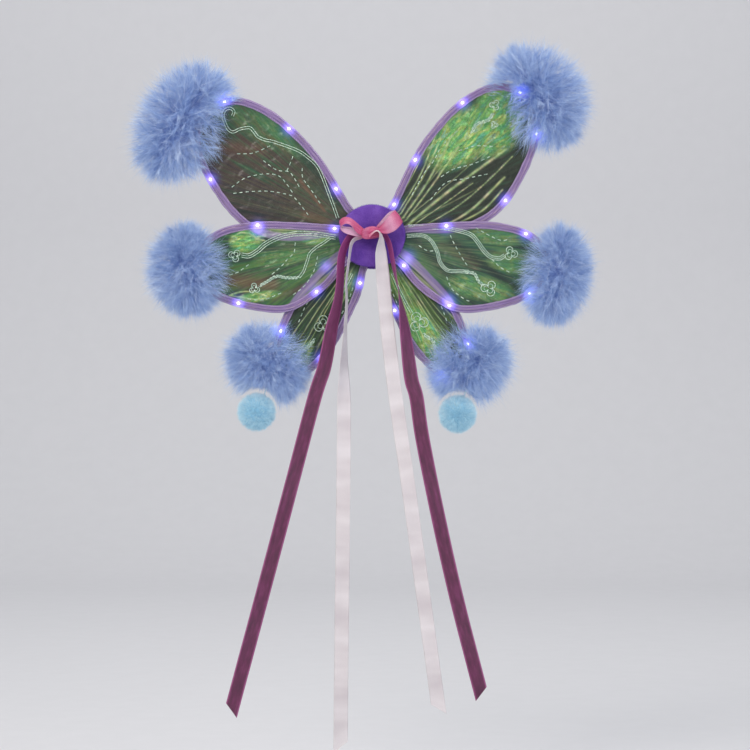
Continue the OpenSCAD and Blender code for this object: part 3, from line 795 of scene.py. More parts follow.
# Lines printed on each film, as (out, across) points. "vine" lines are doubled or tripled, "chain" lines are looped
PATTERNS = {
    "upper_left": {
        "vine": [([(41, -3), (62, 13), (86, 30), (102, 34), (117, 34), (141, 28.5), (149, 25.5), (158, 24), (164, 26),
                   (170, 27.5), (175, 24), (179, 20), (183, 14), (189, 14), (195.5, 18), (201, 23), (202.5, 29),
                   (199, 33.5), (194, 33), (192.5, 28)], (-1.2, 1.2))],
        "chain": [],
        "dash": [[(69, -17), (89, -10), (97, -10), (117, -18), (135, -30), (150, -42)],
                 [(96, -6), (105, -2), (118, 1), (132, -6), (146, -20), (153, -36)],
                 [(65, 0), (81, 7), (95, 13), (102, 23)], [(93, 3), (105, 9), (112, 10), (123, 5), (142, 6)],
                 [(167, -3), (155, 5), (149, 12), (141, 25)], [(113, 10), (114, 17), (116, 27)]],
        "leaf": [],
    },
    "upper_right": {
        "vine": [],
        "chain": [([(150, 20), (160, 24), (172, 20), (180, 22)], 1.6)],
        "dash": [[(60, 8), (84, 18), (100, 22), (118, 30)], [(72, -8), (96, -4), (116, -14), (140, -26)],
                 [(96, 4), (112, 2), (130, -6), (152, -12)], [(128, 14), (146, 6), (160, -6)]],
        "leaf": [(187.5, 28, 5.5, 0.3), (174, 12, 4.0, 1.4)],
    },
    "middle_left": {
        "vine": [([(38, 5), (60, 12), (76, 15), (90, 15), (102, 13), (113, 9), (121, 4), (131, 0), (139, 2)],
                  (-2.2, 0.0, 2.2)),
                 ([(44, 5), (52, 1), (61, -3), (68, -8), (71, -14), (77, -25), (83, -31)], (-1.1, 1.1))],
        "chain": [([(83, -31), (96, -29), (106, -26), (117, -30), (125, -33)], 1.4)],
        "dash": [[(81, 6), (84, -4), (92, -10), (99, -16), (112, -24)], [(133, -9), (145, -15), (156, -17)],
                 [(60, -12), (66, -26), (78, -40), (92, -48)], [(104, -44), (124, -48), (142, -44)]],
        "leaf": [(146, 2.5, 6.6, 0.4), (131, -35, 5.6, 1.6)],
    },
    "middle_right": {
        "vine": [([(36, 16), (68, 20), (88, 20), (102, 18), (110, 12), (119, 3), (127, -2), (136, -2), (141, 2)],
                  (-1.8, 0.0, 1.8)),
                 ([(36, 6), (52, 9), (62, 5), (70, -5), (75, -16), (84, -23), (96, -22), (106, -21)],
                  (-1.5, 0.0, 1.5))],
        "chain": [([(102, -22), (112, -22), (118, -29), (124, -33)], 1.4)],
        "dash": [[(81, 14), (87, 5), (100, -11), (108, -18)], [(128, -4), (138, -11), (149, -15)],
                 [(106, 26), (122, 20), (136, 17), (146, 22)], [(84, -30), (92, -42), (106, -50), (116, -52)],
                 [(50, -2), (60, -6), (70, -4)]],
        "leaf": [(147, 5, 7.2, 0.0), (130, -35, 8.4, 1.1)],
    },
    "lower_left": {
        "vine": [([(44, -4), (60, -6), (78, -8), (94, -9)], (-1.0, 1.0))],
        "chain": [([(124, -10), (136, -8), (146, -4)], 1.5)],
        "dash": [[(56, 12), (76, 16), (98, 18), (120, 14)], [(56, -13), (72, -17), (90, -19)]],
        "leaf": [(106, -8.5, 9.5, 0.5)],
    },
    "lower_right": {
        "vine": [([(44, -4), (60, -7), (76, -9), (90, -10)], (-1.0, 1.0))],
        "chain": [([(116, -12), (128, -8), (138, -12), (144, -16)], 1.6)],
        "dash": [[(56, 12), (76, 17), (98, 20), (118, 16)], [(56, -14), (72, -17), (88, -19)],
                 [(128, 4), (140, 2), (150, -4)]],
        "leaf": [(102, -9.5, 10.5, 0.9)],
    },
}


def pattern_lines(wing):
    """(line, half width) of everything printed on a wing's film."""
    style = PATTERNS[wing.name]
    lines = []
    for points, gaps in style["vine"]:
        centre = curve_through(points, 170)
        lines += [(wing.offset(centre, gap), 0.42) for gap in gaps]
    for points, size in style["chain"]:
        lines += [(beads(curve_through(points, 100), size * side), 0.34) for side in (1, -1)]
    for points in style["dash"]:
        lines += [(piece, 0.46) for piece in dashes(points) if len(piece) > 2]
    for x, y, size, turn in style["leaf"]:
        lines += [(clover((x, y), size, turn), 0.44), (clover((x, y), size * 0.62, turn), 0.3)]
    return lines


def make_pattern(wing, height_at):
    points, faces, total = [], [], 0
    angles = np.linspace(0, np.pi, 4)
    for line, half in pattern_lines(wing):
        line = line[line[:, 0] > wing.bend - 6]
        if len(line) < 3:
            continue
        t = tangents(line)
        normal = np.stack([-t[:, 1], t[:, 0]], 1)
        s, a = line[:, 0], line[:, 1]
        base = height_at(s, a)
        for level in (1, -1):
            rings = np.stack([wing.world(s + normal[:, 0] * half * math.cos(k), a + normal[:, 1] * half * math.cos(k),
                                         base + level * (0.45 + 0.4 * math.sin(k))) for k in angles], 1)
            faces += (np.array(grid_faces(len(line), len(angles), close_columns=True)) + total).tolist()
            faces += [[total + i for i in range(len(angles))],
                      [total + (len(line) - 1) * len(angles) + i for i in range(len(angles))][::-1]]
            points.append(rings.reshape(-1, 3))
            total += len(line) * len(angles)
    piece = make_piece(wing.name + "_glitter", np.vstack(points), faces, glitter_look)
    wing.blend(piece)


# -- lights

def lamp_material():
    m = Shader("lamp")
    core = m.ramp(m.attribute("core"), [(0.0, "#6a5cff"), (0.6, "#a9b8ff"), (1.0, "#ffffff")])
    m.set(Base_Color=core, Roughness=0.08, Coat_Weight=1.0, Emission_Color=core, Emission_Strength=7.0)
    return m.material


lamp_look = lamp_material()


def wire_material():
    m = Shader("light_wire")
    m.set(Base_Color=m.mix(m.noise(m.coordinates(), 300, 2), "#a88f9c", "#d9c8d0"), Metallic=1.0, Roughness=0.3)
    return m.material


wire_look = wire_material()


def ball(centre, radii, axes, rows=10, columns=14):
    """Points and quads of an oval with poles, as a grid."""
    lat = np.linspace(-np.pi / 2, np.pi / 2, rows)
    lon = np.linspace(0, 2 * np.pi, columns, endpoint=False)
    a, b = np.meshgrid(lat, lon, indexing="ij")
    unit_points = np.stack([np.sin(a), np.cos(a) * np.cos(b), np.cos(a) * np.sin(b)], -1)
    points = centre + (unit_points * radii) @ axes
    return points.reshape(-1, 3), np.array(grid_faces(rows, columns, close_columns=True)), unit_points


def make_lights(wing, seed):
    rng = np.random.default_rng(seed)
    points, faces, core, total = [], [], [], 0
    for spot in light_spots[wing.name]:
        i = int(np.argmin(np.linalg.norm(wing.line - spot, axis=1)))
        t = tangents(wing.line)[i]
        origin = wing.world(0, 0)
        along, across = wing.world(*t) - origin, wing.world(-t[1], t[0]) - origin
        for level in (1, -1):
            centre = wing.world(spot[0], spot[1], level * 2.0)
            p, f, u = ball(centre, (1.8, 1.15, 1.05), np.stack([along, across, FRONT]))
            points.append(p)
            faces += (f + total).tolist()
            core.append(np.clip(1.15 - np.abs(u[..., 0]).ravel(), 0, 1))
            total += len(p)
    piece = make_piece(wing.name + "_lamps", np.vstack(points), faces, lamp_look,
                       attributes={"core": np.concatenate(core)})
    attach(piece, wing.body)
    flat = full_line(wing)[8:-8]
    swing = np.sin(lengths_along(flat) / 14) * 0.9 + soften(rng.normal(0, 0.5, len(flat)), 6)
    line = wing.offset(flat, 1.0)
    path = wing.world(line[:, 0], line[:, 1], 1.25 + 0.25 * swing)
    path += np.outer(swing * 0.6, [0, 0, 1])
    ring = round_ring(6, 0.2)
    ahead = tangents(path)
    side = unit(np.cross(ahead, FRONT))
    p, f = tube_mesh(path, lambda i: ring, side, np.cross(side, ahead))
    wire = make_piece(wing.name + "_light_wire", p, f, wire_look)
    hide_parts(wing.name + "_leds")
    wing.blend(wire)


# -- feathers and pom-poms

def down_material(name, dark, middle, pale, deep):
    """Fibres whose colour is told by their UV: u is the tone in four columns of glow, v carries painted shade,
    which takes low v, deep in the fur and toward the roots, toward the shade colour.
    """
    m = Shader(name)
    split = m.node("SeparateXYZ")
    m.link(m.node("UVMap", uv_map="OFBake").outputs[0], split.inputs[0])
    wide = m.times(split.outputs["X"], 4.0)
    glow = m.math("DIVIDE", m.math("FLOOR", wide), 3.0)
    tone = m.math("FRACT", wide)
    body = m.ramp(tone, [(0.15, dark), (0.5, middle), (0.85, pale)])
    # Painted shade: low v takes the fibre toward the shade colour.
    shade = m.mix(m.ramp(split.outputs["Y"], [(0.0, 1.0), (0.5, 0.22), (0.85, 0.0)]), body, deep)
    m.set(Base_Color=shade, Roughness=0.8, Sheen_Weight=0.15, Sheen_Roughness=0.5)
    m.bsdf.inputs["Sheen Tint"].default_value = colour(pale)
    # Besides the lights' glow, a weak emission paints on light scattered through the fur.
    m.set(Emission_Color=m.mix(glow, shade, "#5546ff"),
          Emission_Strength=m.plus(m.times(glow, 0.9), 0.10))
    return m.material


feather_look = down_material("marabou", "#7f9bcb", "#a4bce0", "#d8e5f4", "#3f6cc6")
pompom_look = down_material("pompom_yarn", "#94c0d6", "#c2e2ee", "#f0fafd", "#7cb0cc")


def fibre_uv(tone, along, glow):
    """UV of each fibre point for down_material."""
    column = np.clip(np.round(glow * 3), 0, 3)
    return np.stack([(column + 0.12 + 0.76 * np.clip(tone, 0, 1)) / 4, 0.02 + 0.96 * along], -1)


def strips(roots, directions, bends, lengths, widths, rolls, tones, steps=3):
    """Tapered fibres, each a strip of quads that ends in a point. Returns points, triangles and (tone, along)."""
    n = len(roots)
    sideways = unit(np.cross(directions, rolls))
    levels = []
    alongs = []
    for k in range(steps + 1):
        u = k / steps
        centre = roots + directions * (lengths * u)[:, None] + bends * (lengths * u ** 2)[:, None]
        half = (widths * (1 - 0.75 * u) / 2)[:, None]
        if k < steps:
            levels += [centre - sideways * half, centre + sideways * half]
            alongs += [u, u]
        else:
            levels.append(centre)
            alongs.append(u)
    per = len(levels)
    points = np.stack(levels, 1).reshape(-1, 3)
    base = []
    for k in range(steps - 1):
        a = 2 * k
        base += [[a, a + 1, a + 3], [a, a + 3, a + 2]]
    base.append([2 * steps - 2, 2 * steps - 1, 2 * steps])
    triangles = (np.array(base)[None] + (np.arange(n) * per)[:, None, None]).reshape(-1, 3)
    return points, triangles, np.repeat(tones, per), np.tile(alongs, n)


def random_directions(rng, n):
    v = rng.normal(size=(n, 3))
    return unit(v)


def before_pompom(wing, places):
    """True for the places that lie straight in front of the pom-pom that hangs from this wing."""
    low, high = node_box(wing.name.replace("lower_", "") + "_pompom")
    seen = wing.world(places[:, 0], places[:, 1], places[:, 2]) - (low + high) / 2
    return (np.hypot(seen[:, 0], seen[:, 2]) < 0.44 * (high - low).max()) & (seen[:, 1] < 0)


# Distance to the side, in millimetres, where the fur of an upper wing begins over its film
FUR_EDGE = {"upper_left": 156.0, "upper_right": 146.0}
# How strongly the long wisps sink, and how far past the cluster they may go
DROOP = {"upper": 0.12, "middle": 0.3, "lower": 0.5}
STRAY = {"upper": 12.0, "middle": 12.0, "lower": 18.0}


def share_past_edge(wing, start, end):
    """The share of each fibre that lies outside the line where the fur begins. Fibres beyond the binding keep all."""
    edge = FUR_EDGE[wing.name] + 4 * np.sin(1.7 * start[:, 1]) + 3 * np.sin(5.3 * start[:, 1] + start[:, 0])
    first, last = (wing.side * wing.world(p[:, 0], p[:, 1], p[:, 2])[:, 0] for p in (start, end))
    share = np.clip((first - edge) / np.maximum(first - last, 1e-6), 0.02, 1)
    return np.where((last < edge) & (end[:, 1] < 46), share, 1.0)


# Length of a fibre that would lie in front of a pom-pom, in millimetres
STUB = 0.3
# Degrees that a pom-pom swings to each side, and the millimetres of air kept round it and round its thread
SWING = 25.0
POMPOM_AIR, THREAD_AIR = 2.0, 1.8
# Ways to clear a fibre, mildest first: millimetres that its tip bends back, and the share of its length that stays
PARTINGS = ((0, 1.0), (6, 1.0), (12, 1.0), (18, 1.0), (24, 1.0), (18, 0.8), (24, 0.8), (0, 0.8), (0, 0.6), (0, 0.4))


def clear_of_pompom(wing, points):
    """Fibres of five points each, bent back or shortened until they stay out of the space through which the
    pom-pom and its thread swing, and a mask of the points to keep. A fibre that can't be cleared is left out."""
    side = wing.name.replace("lower_", "")
    low, high = node_box(side + "_pompom")
    middle, radius = (low + high) / 2, (high - low).max() / 2
    pivot = joint_place(side + "_pompom_swing")
    fibres = points.reshape(-1, 5, 3)
    base = fibres[:, :2].mean(1, keepdims=True)
    result, kept = fibres.copy(), np.zeros(len(fibres), bool)
    sag = np.array([0, 0, 0.25, 0.25, 1.0])[:, None] * [0.0, 1.0, 0.0]
    for back, share in PARTINGS:
        shorter = base + (fibres - base) * share + back * sag
        first, second, last = shorter[:, :2].mean(1), shorter[:, 2:4].mean(1), shorter[:, 4]
        spine = np.stack([first, (first + second) / 2, second, (second + last) / 2, last], 1)
        clear = np.ones(len(fibres), bool)
        for angle in np.radians(np.linspace(-SWING, SWING, 11)):
            arm = middle - pivot
            arm = np.array([arm[0], arm[1] * math.cos(angle) - arm[2] * math.sin(angle),
                            arm[1] * math.sin(angle) + arm[2] * math.cos(angle)])
            near = np.clip((spine - pivot) @ arm / (arm @ arm), 0, 1)
            thread = np.linalg.norm(spine - pivot - near[..., None] * arm, axis=-1)
            pompom = np.linalg.norm(spine - pivot - arm, axis=-1)
            clear &= (thread > THREAD_AIR).all(1) & (pompom > radius + POMPOM_AIR).all(1)
        now = clear & ~kept
        result[now] = shorter[now]
        kept |= clear
    return result.reshape(-1, 3), np.repeat(kept, 5)


def make_feathers(wing, seed, tufts=450, barbs=123, wisps=7000):
    """A marabou boa sewn round the wing's tip: tufts that stand out all round the tip's edge, each with soft barbs,
    and single long wisps that stray past them."""
    rng = np.random.default_rng(seed)
    cluster = wing.local(np.array([v.co for v in frame["nodes"][wing.name + "_feathers"].data.vertices]) / MM)
    low, high = cluster.min(0), cluster.max(0)
    low[0] += 7 if wing.family == "upper" else 3
    centre, half = (low + high) / 2, (high - low) / 2
    centre[2] = 0.0
    # The boa's own line, bowed outward along the tip
    v = rng.uniform(-1, 1, tufts)
    root = np.stack([centre[0] + 4 - 0.16 * half[0] * v ** 2, centre[1] + 0.62 * half[1] * v,
                     rng.normal(1.5, 3.0, tufts)], 1)
    out = random_directions(rng, tufts)
    out[:, 2] *= 0.8
    out = unit(out + 0.45 * unit(root - centre) * np.abs(v)[:, None])

    def room_toward(start, way, shape):
        """How far each fibre may go before it meets the cluster's outer surface."""
        p, d = (start - centre) / shape, way / shape
        a, b, c = (d * d).sum(-1), (p * d).sum(-1), (p * p).sum(-1) - 1
        return (-b + np.sqrt(np.maximum(b * b - a * c, 0))) / a

    reach = room_toward(root, out, half * [1.0, 1.0, 0.94])
    clump = unit(rng.normal(size=(30, 3)))
    ragged = rng.uniform(-0.08, 0.05, 30)[np.argmax(out @ clump.T, axis=1)]
    reach *= rng.uniform(0.70, 0.98, tufts) + ragged
    out_bend = np.cross(out, random_directions(rng, tufts)) * rng.uniform(0.05, 0.22, (tufts, 1)) * reach[:, None]
    tone = np.clip(rng.normal(0.5, 0.2, tufts), 0, 1)
    u = rng.uniform(0.04, 0.97, (tufts, barbs))
    along = root[:, None] + out[:, None] * (reach[:, None] * u)[..., None] + out_bend[:, None] * (u ** 2)[..., None]
    flat = unit(np.cross(out, random_directions(rng, tufts)))
    sign = np.where(rng.random((tufts, barbs)) < 0.5, -1.0, 1.0)
    spread = rng.uniform(0.1, 0.95, (tufts, barbs)) * (1.0 - 0.72 * u)
    direction = unit(out[:, None] + flat[:, None] * (sign * spread)[..., None]
                     + rng.normal(0, 0.22, (tufts, barbs, 3)))
    flat_of = lambda x: x.reshape(-1, x.shape[-1]) if x.ndim == 3 else x.reshape(-1)
    start, way = flat_of(along), flat_of(direction)
    length = np.minimum(rng.uniform(7, 17, tufts * barbs), room_toward(start, way, half * [1.06, 1.05, 0.98]) + 4.5)
    # Wisps start near the outer surface and curl past it
    facing = random_directions(rng, wisps)
    facing[:, 2] *= 0.7
    facing = unit(facing)
    stray = np.arange(wisps) < 900
    down = np.array([-wing.sin, -wing.cos, 0.0])
    wisp_way = unit((facing + rng.normal(0, 0.32, (wisps, 3)) + DROOP[wing.family] * down) * [1, 1, 0.7])
    wisp_start = centre + facing * half * rng.uniform(0.66, 0.9, (wisps, 1))
    past = np.where(stray, 0.8, 0.2 + 0.75 * rng.random(wisps)) * STRAY[wing.family]
    wisp_length = np.minimum(rng.uniform(12, 28, wisps) + 3 * stray, room_toward(wisp_start, wisp_way, half) + past)
    start, way = np.vstack([start, wisp_start]), np.vstack([way, wisp_way])
    length = np.concatenate([np.maximum(length, 2.0), np.maximum(wisp_length, 3.0)])
    if wing.name in FUR_EDGE:
        length *= share_past_edge(wing, start, start + way * length[:, None])
    if wing.family == "lower":
        ends = start + way * length[:, None]
        length = np.where(before_pompom(wing, start) | before_pompom(wing, ends), STUB, length)
    count = len(start)
    curl_back = random_directions(rng, count) * rng.uniform(0.1, 0.42, (count, 1))
    curl_back[:, 2] *= 0.7
    tones = np.concatenate([np.repeat(tone, barbs), rng.uniform(0.3, 0.8, wisps)]) + rng.normal(0, 0.16, count)
    widths = np.concatenate([rng.uniform(0.15, 0.33, tufts * barbs),
                             rng.uniform(0.14, 0.24, wisps) * (1 + 0.8 * stray)])
    near_root = np.concatenate([np.clip(1 - flat_of(u * reach[:, None]) / 13, 0, 1), np.zeros(wisps)])
    curl_more = np.concatenate([np.zeros(tufts * barbs), np.full(wisps, 0.35)])[:, None]
    local, triangles, tones, alongs = strips(start, way, curl_back * (1 + curl_more), length, widths,
                                             random_directions(rng, count), np.clip(tones, 0, 1), steps=2)
    thick = np.abs(local[:, 2])
    local[:, 2] *= 1 - 0.6 * np.maximum(thick - half[2], 0) / np.maximum(thick, 1)
    points = wing.world(local[:, 0], local[:, 1], local[:, 2])
    # Painted shade: fibres deep inside the cluster and near the tufts' roots are made darker through v.
    depth = np.linalg.norm((local - centre) / half, axis=1)
    shade = np.clip(0.30 + 0.66 * (depth - 0.1) - 0.38 * np.repeat(near_root, 5), 0, 1)
    uv = fibre_uv(tones, np.clip(shade * (0.8 + 0.2 * alongs), 0, 1), glow_at(points, 9.0) * 0.9)
    if wing.family == "lower":
        points, kept = clear_of_pompom(wing, points)
        points, uv = points[kept], uv[kept]
        triangles = triangles[:3 * (len(points) // 5)]
    piece = make_piece(wing.name + "_marabou", points, triangles.tolist(), feather_look, smooth=False,
                       uvs={"OFBake": uv})
    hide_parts(wing.name + "_feathers")
    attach(piece, wing.body)


# Shares of a pom-pom's radius: where its yarn starts, how long the yarn is and may be at most, and its round core
YARN_START, YARN_LENGTH, YARN_MOST, CORE = 0.44, 0.56, 0.6, 0.8


def make_pompom(side, seed, fibres=19000):
    rng = np.random.default_rng(seed)
    low, high = node_box(side + "_pompom")
    centre, radius = (low + high) / 2, (high - low).max() / 2
    direction = random_directions(rng, fibres)
    tuft = unit(rng.normal(size=(140, 3)))
    nearest = np.argmax(direction @ tuft.T, axis=1)
    direction = unit(direction + 0.18 * (tuft[nearest] - direction) + rng.normal(0, 0.05, (fibres, 3)))
    uneven = rng.normal(0, 0.02, 140)[nearest]
    length = radius * np.minimum(YARN_LENGTH + 0.9 * uneven + rng.normal(0, 0.035, fibres), YARN_MOST)
    apart = np.sqrt(np.clip(2 - 2 * (direction * tuft[nearest]).sum(1), 0, 1))
    # Tone varies at random by tuft and by fibre; painted shade darkens the gaps between tufts, and painted light
    # lifts the fibres that point up.
    tones = np.clip(rng.normal(0.56, 0.06, 140)[nearest] + rng.normal(0, 0.16, fibres) - 0.4 * apart
                    + 0.12 * direction[:, 2], 0, 1)
    points, triangles, tone, along = strips(
        centre + direction * radius * YARN_START, direction, unit(rng.normal(size=(fibres, 3))) * 0.12, length,
        rng.uniform(0.35, 0.65, fibres), random_directions(rng, fibres), tones, steps=2)
    core, quads, _ = ball(centre, np.full(3, radius * CORE), np.eye(3), 24, 32)
    faces = triangles.tolist() + (quads + len(points)).tolist()
    # Painted shade: the fibres' roots and the round core take the shade colour.
    uv = np.vstack([fibre_uv(tone, 0.25 + 0.75 * along, np.zeros(len(tone))),
                    fibre_uv(np.full(len(core), 0.3), np.full(len(core), 0.2), np.zeros(len(core)))])
    piece = make_piece(side + "_pompom_yarn", np.vstack([points, core]), faces, pompom_look, smooth=False,
                       uvs={"OFBake": uv})
    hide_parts(side + "_pompom")
    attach(piece, side + "_pompom")


for number, name in enumerate(WING_NAMES):
    wing = wings[name]
    edge_line = make_binding(wing, 11 + number)
    make_stitches(wing, edge_line)
    make_pattern(wing, make_film(wing, 31 + number))
    make_lights(wing, 51 + number)
    make_feathers(wing, 71 + number)
make_pompom("left", 91)
make_pompom("right", 92)


# ---------------------------------------------------------------- felt discs

def felt_material():
    m = Shader("purple_felt")
    fine = m.noise(m.coordinates(), 1400, 4, 2.5)
    blotch = m.noise(m.coordinates(), 55, 3)
    base = m.ramp(m.plus(m.times(fine, 0.6), m.times(blotch, 0.4)),
                  [(0.36, "#4b2a8c"), (0.5, "#6840a6"), (0.64, "#865fc2")])
    m.set(Base_Color=base, Roughness=0.95, Sheen_Weight=0.6, Sheen_Roughness=0.4)
    m.bsdf.inputs["Sheen Tint"].default_value = colour("#8d6fd0")
    return m.bump(fine, 0.7, 0.0006).material


felt_look = felt_material()


def read_disc(node):
    """(x, z) outline of a disc node, evened out."""
    points = np.array([v.co for v in frame["nodes"][node].data.vertices]) / MM
    flat = np.unique(np.round(points[:, [0, 2]], 2), axis=0)
    flat = flat[np.hypot(flat[:, 0], flat[:, 1]) > 25]
    flat = flat[np.argsort(np.arctan2(flat[:, 1], flat[:, 0]))]
    return resample(np.vstack([flat, flat[:1]]), 241)[:-1]


def make_felt_disc(name, node, seed):
    """A felt disc with a soft rim and a slightly uneven face, and the short fibres that stand off it."""
    rng = np.random.default_rng(seed)
    low, high = node_box(node)
    outline = read_disc(node)
    thick = high[1] - low[1]
    section = [(35.0, 0), (30, 0), (25, 0), (20, 0), (15, 0), (11, 0), (8, 0), (5.5, 0), (3.5, 0.02), (2, 0.06),
               (1, 0.16), (0.35, 0.3), (0, 0.5), (0.35, 0.7), (1, 0.84), (2, 0.94), (5, 1), (12, 1),
               (22, 1), (35.0, 1)]
    rings = []
    for inset, depth in section:
        ring = outline * max(1 - inset / 35.0, 0.004)
        wave = 0.22 * np.sin(ring[:, 0] * 0.31 + 1.3) * np.cos(ring[:, 1] * 0.27) + 0.12 * np.sin(ring[:, 0] * 0.9)
        y = low[1] + 0.25 + (thick - 0.3) * depth + np.where(depth < 0.4, wave, 0)
        rings.append(np.stack([ring[:, 0], np.broadcast_to(y, len(ring)), ring[:, 1]], 1))
    points = np.stack(rings).reshape(-1, 3)
    points += rng.normal(0, 0.05, points.shape)
    count = len(outline)
    faces = [f[::-1] for f in grid_faces(len(section), count, close_columns=True)]
    faces += [list(range(count)), list(range((len(section) - 1) * count, len(section) * count))[::-1]]
    disc = make_piece(name, points, faces, felt_look)
    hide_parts(node)
    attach(disc, "root")
    spots = outline[rng.integers(0, count, 9000)] * np.where(
        rng.random(9000) < 0.35, 1.0, np.sqrt(rng.random(9000)))[:, None]
    at_rim = np.hypot(*spots.T) > 0.985 * np.hypot(*outline.T).min()
    base = np.stack([spots[:, 0], np.full(9000, low[1] + 0.3), spots[:, 1]], 1)
    base[at_rim, 1] += rng.random(at_rim.sum()) * (thick - 0.5)
    away = rng.normal(0, 0.8, (9000, 3)) + FRONT * (low[1] < -20) * 0.5
    away[at_rim] += np.stack([spots[at_rim, 0], 0 * spots[at_rim, 0], spots[at_rim, 1]], 1) / 35 * 1.4
    p, triangles, _, _ = strips(base, unit(away), random_directions(rng, 9000) * 0.5, rng.uniform(0.5, 1.6, 9000),
                                np.full(9000, 0.07), random_directions(rng, 9000), np.zeros(9000))
    fuzz = make_piece(name + "_fuzz", p, triangles.tolist(), felt_look, smooth=False)
    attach(fuzz, "root")


make_felt_disc("front_felt", "front_disc", 101)
make_felt_disc("back_felt", "back_disc", 102)


# ---------------------------------------------------------------- bow

def satin_material(name, outside, inside, glint, rib=2.6, roughness=0.32):
    """Satin ribbon. outside and inside are colour ramps' three tones; UV "run" is (across, along) in millimetres.
    "blush" marks where it turns a stronger pink, and "deep" marks painted shade in a deeper pink."""
    m = Shader(name)
    thread = m.wave(m.coordinates((0.0, 1, 1), uv="run"), rib, "Y", 0.4, 2)
    # Painted shade: soft, broad lighter and darker bands along the ribbon's length stand in for its shading.
    satin_shade_bands = m.noise(m.coordinates((0.012, 0.04, 1), uv="run"), 1.0, 2)
    tone = m.plus(m.times(satin_shade_bands, 0.8), m.times(thread, 0.2))
    stops = lambda codes: list(zip((0.3, 0.5, 0.7), codes))
    base = m.mix(m.attribute("inner"), m.ramp(tone, stops(outside)), m.ramp(tone, stops(inside)))
    base = m.mix(m.attribute("blush"), base, "#cf5d88")
    base = m.mix(m.attribute("deep"), base, "#a82a58")
    m.set(Base_Color=base, Roughness=roughness, Sheen_Weight=0.45, Sheen_Roughness=0.3, Anisotropic=0.5)
    m.bsdf.inputs["Sheen Tint"].default_value = colour(glint)
    return m.bump(thread, 0.25, 0.0002).material


bow_look = satin_material("bow_satin", ["#a82f60", "#c04a7a", "#d87098"],
                          ["#a8708f", "#cf9abb", "#efcfe0"], "#ffb8d4")


def sheet_between(front_edge, back_edge, thickness, bulge, pleats, count=90, across=25):
    """A thin closed sheet between two edges. bulge(u, q) pushes it along its own face, and pleats ripple it."""
    a, b = curve_through(front_edge, count), curve_through(back_edge, count)
    u = np.linspace(0, 1, count)[:, None]
    q = np.linspace(0, 1, across)[None, :]
    middle = a[:, None] * (1 - q[..., None]) + b[:, None] * q[..., None]
    ahead, side = np.gradient(middle, axis=0), np.gradient(middle, axis=1)
    normal = unit(np.cross(ahead, side))
    ripple = bulge(u, q) + pleats(u, q)
    middle = middle + normal * ripple[..., None]
    ahead, side = np.gradient(middle, axis=0), np.gradient(middle, axis=1)
    normal = unit(np.cross(ahead, side))
    points = np.concatenate([middle + normal * thickness / 2, (middle - normal * thickness / 2)[:, ::-1]], axis=1)
    sides = 2 * across
    faces = grid_faces(count, sides, close_columns=True)
    faces += [list(range(sides))[::-1], list(range((count - 1) * sides, count * sides))]
    wide = np.mean(np.linalg.norm(np.diff(middle, axis=1), axis=2).sum(1))
    long_side = np.mean(np.linalg.norm(np.diff(middle, axis=0), axis=2).sum(0))
    cross = np.concatenate([q[0], q[0][::-1]]) * wide
    uv = np.stack(np.broadcast_arrays(cross[None, :], u * long_side), -1).reshape(-1, 2)
    inner = np.tile(np.concatenate([np.zeros(across), np.ones(across)]), count)
    area = float(np.sum(np.linalg.norm(np.cross(np.diff(middle, axis=0)[:, :-1],
                                                np.diff(middle, axis=1)[:-1]), axis=2)))
    return points.reshape(-1, 3), faces, uv, inner, (wide, long_side, area)


def pinch(u, power=1.0):
    """1 at both ends of a loop, 0 in its middle."""
    return np.abs(2 * u - 1) ** (3 * power)


def make_loop(side, front_edge, back_edge, flip, folds, swell, pale):
    points, faces, uv, inner, size = sheet_between(
        front_edge, back_edge, 0.55,
        lambda u, q: swell * np.sin(np.pi * u) * 4 * q * (1 - q),
        lambda u, q: 0.45 * np.sin(folds * np.pi * q + 0.4 + 1.5 * u) * (0.25 + pinch(u)))
    if flip:
        inner = 1 - inner
    at = np.repeat(np.linspace(0, 1, 90), len(points) // 90)
    # Painted satin sheen: pale lifts a band a quarter of the way round toward the paler inside colour.
    inner = np.clip(inner + pale * np.exp(-((at - 0.26) / 0.13) ** 2), 0, 1)
    # Next to the knot the ribbon turns a stronger pink, and painted shade deepens it where it goes into the knot.
    near_knot = np.clip(1 - np.minimum(at, 1 - at) / 0.12, 0, 1)
    piece = make_piece(side + "_bow_ribbon", points, faces, bow_look,
                       attributes={"inner": inner, "blush": 0.7 * near_knot, "deep": 0.5 * near_knot ** 2},
                       uvs={"run": uv})
    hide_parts("bow_loop_" + side)
    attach(piece, "root")


knot_low, knot_high = node_box("bow_knot")
bow_front, bow_rear = knot_low[1], knot_high[1] - 7

# The left loop is seen from a little above: its upper band shows the outside and its lower band the inside
y0 = bow_front
left_front = [(-8, y0 + 4, -1), (-12.5, y0 + 2.5, 0.4), (-16.5, y0 + 1, 3), (-19.5, y0 + 0.6, 7.2),
              (-22.5, y0 + 0.8, 10.6),
              (-26.5, y0 + 1.4, 12.0), (-30.2, y0 + 1.6, 11), (-33, y0 + 1.8, 8.2), (-31.8, y0 + 2, 4.6),
              (-27.4, y0 + 2.6, 1.7),
              (-22, y0 + 3.4, 0), (-16, y0 + 4.4, -1.4), (-8, y0 + 5.4, -2)]
left_back = [(-8, y0 + 6, 6), (-12.5, y0 + 6.5, 10), (-16.5, y0 + 7, 13.6), (-20.2, y0 + 7.6, 16.6),
             (-24, y0 + 8.4, 18.7),
             (-28, y0 + 9, 19.2), (-31.6, y0 + 9.4, 17.8), (-34.2, y0 + 9.8, 14.6), (-33, y0 + 10.2, 11.2),
             (-28, y0 + 10.6, 9.4), (-22, y0 + 10.6, 8.8), (-16, y0 + 10, 5.6), (-8, y0 + 8.6, 3)]
make_loop("left", np.array(left_front), np.array(left_back), True, 5, 0.8, 0.12)

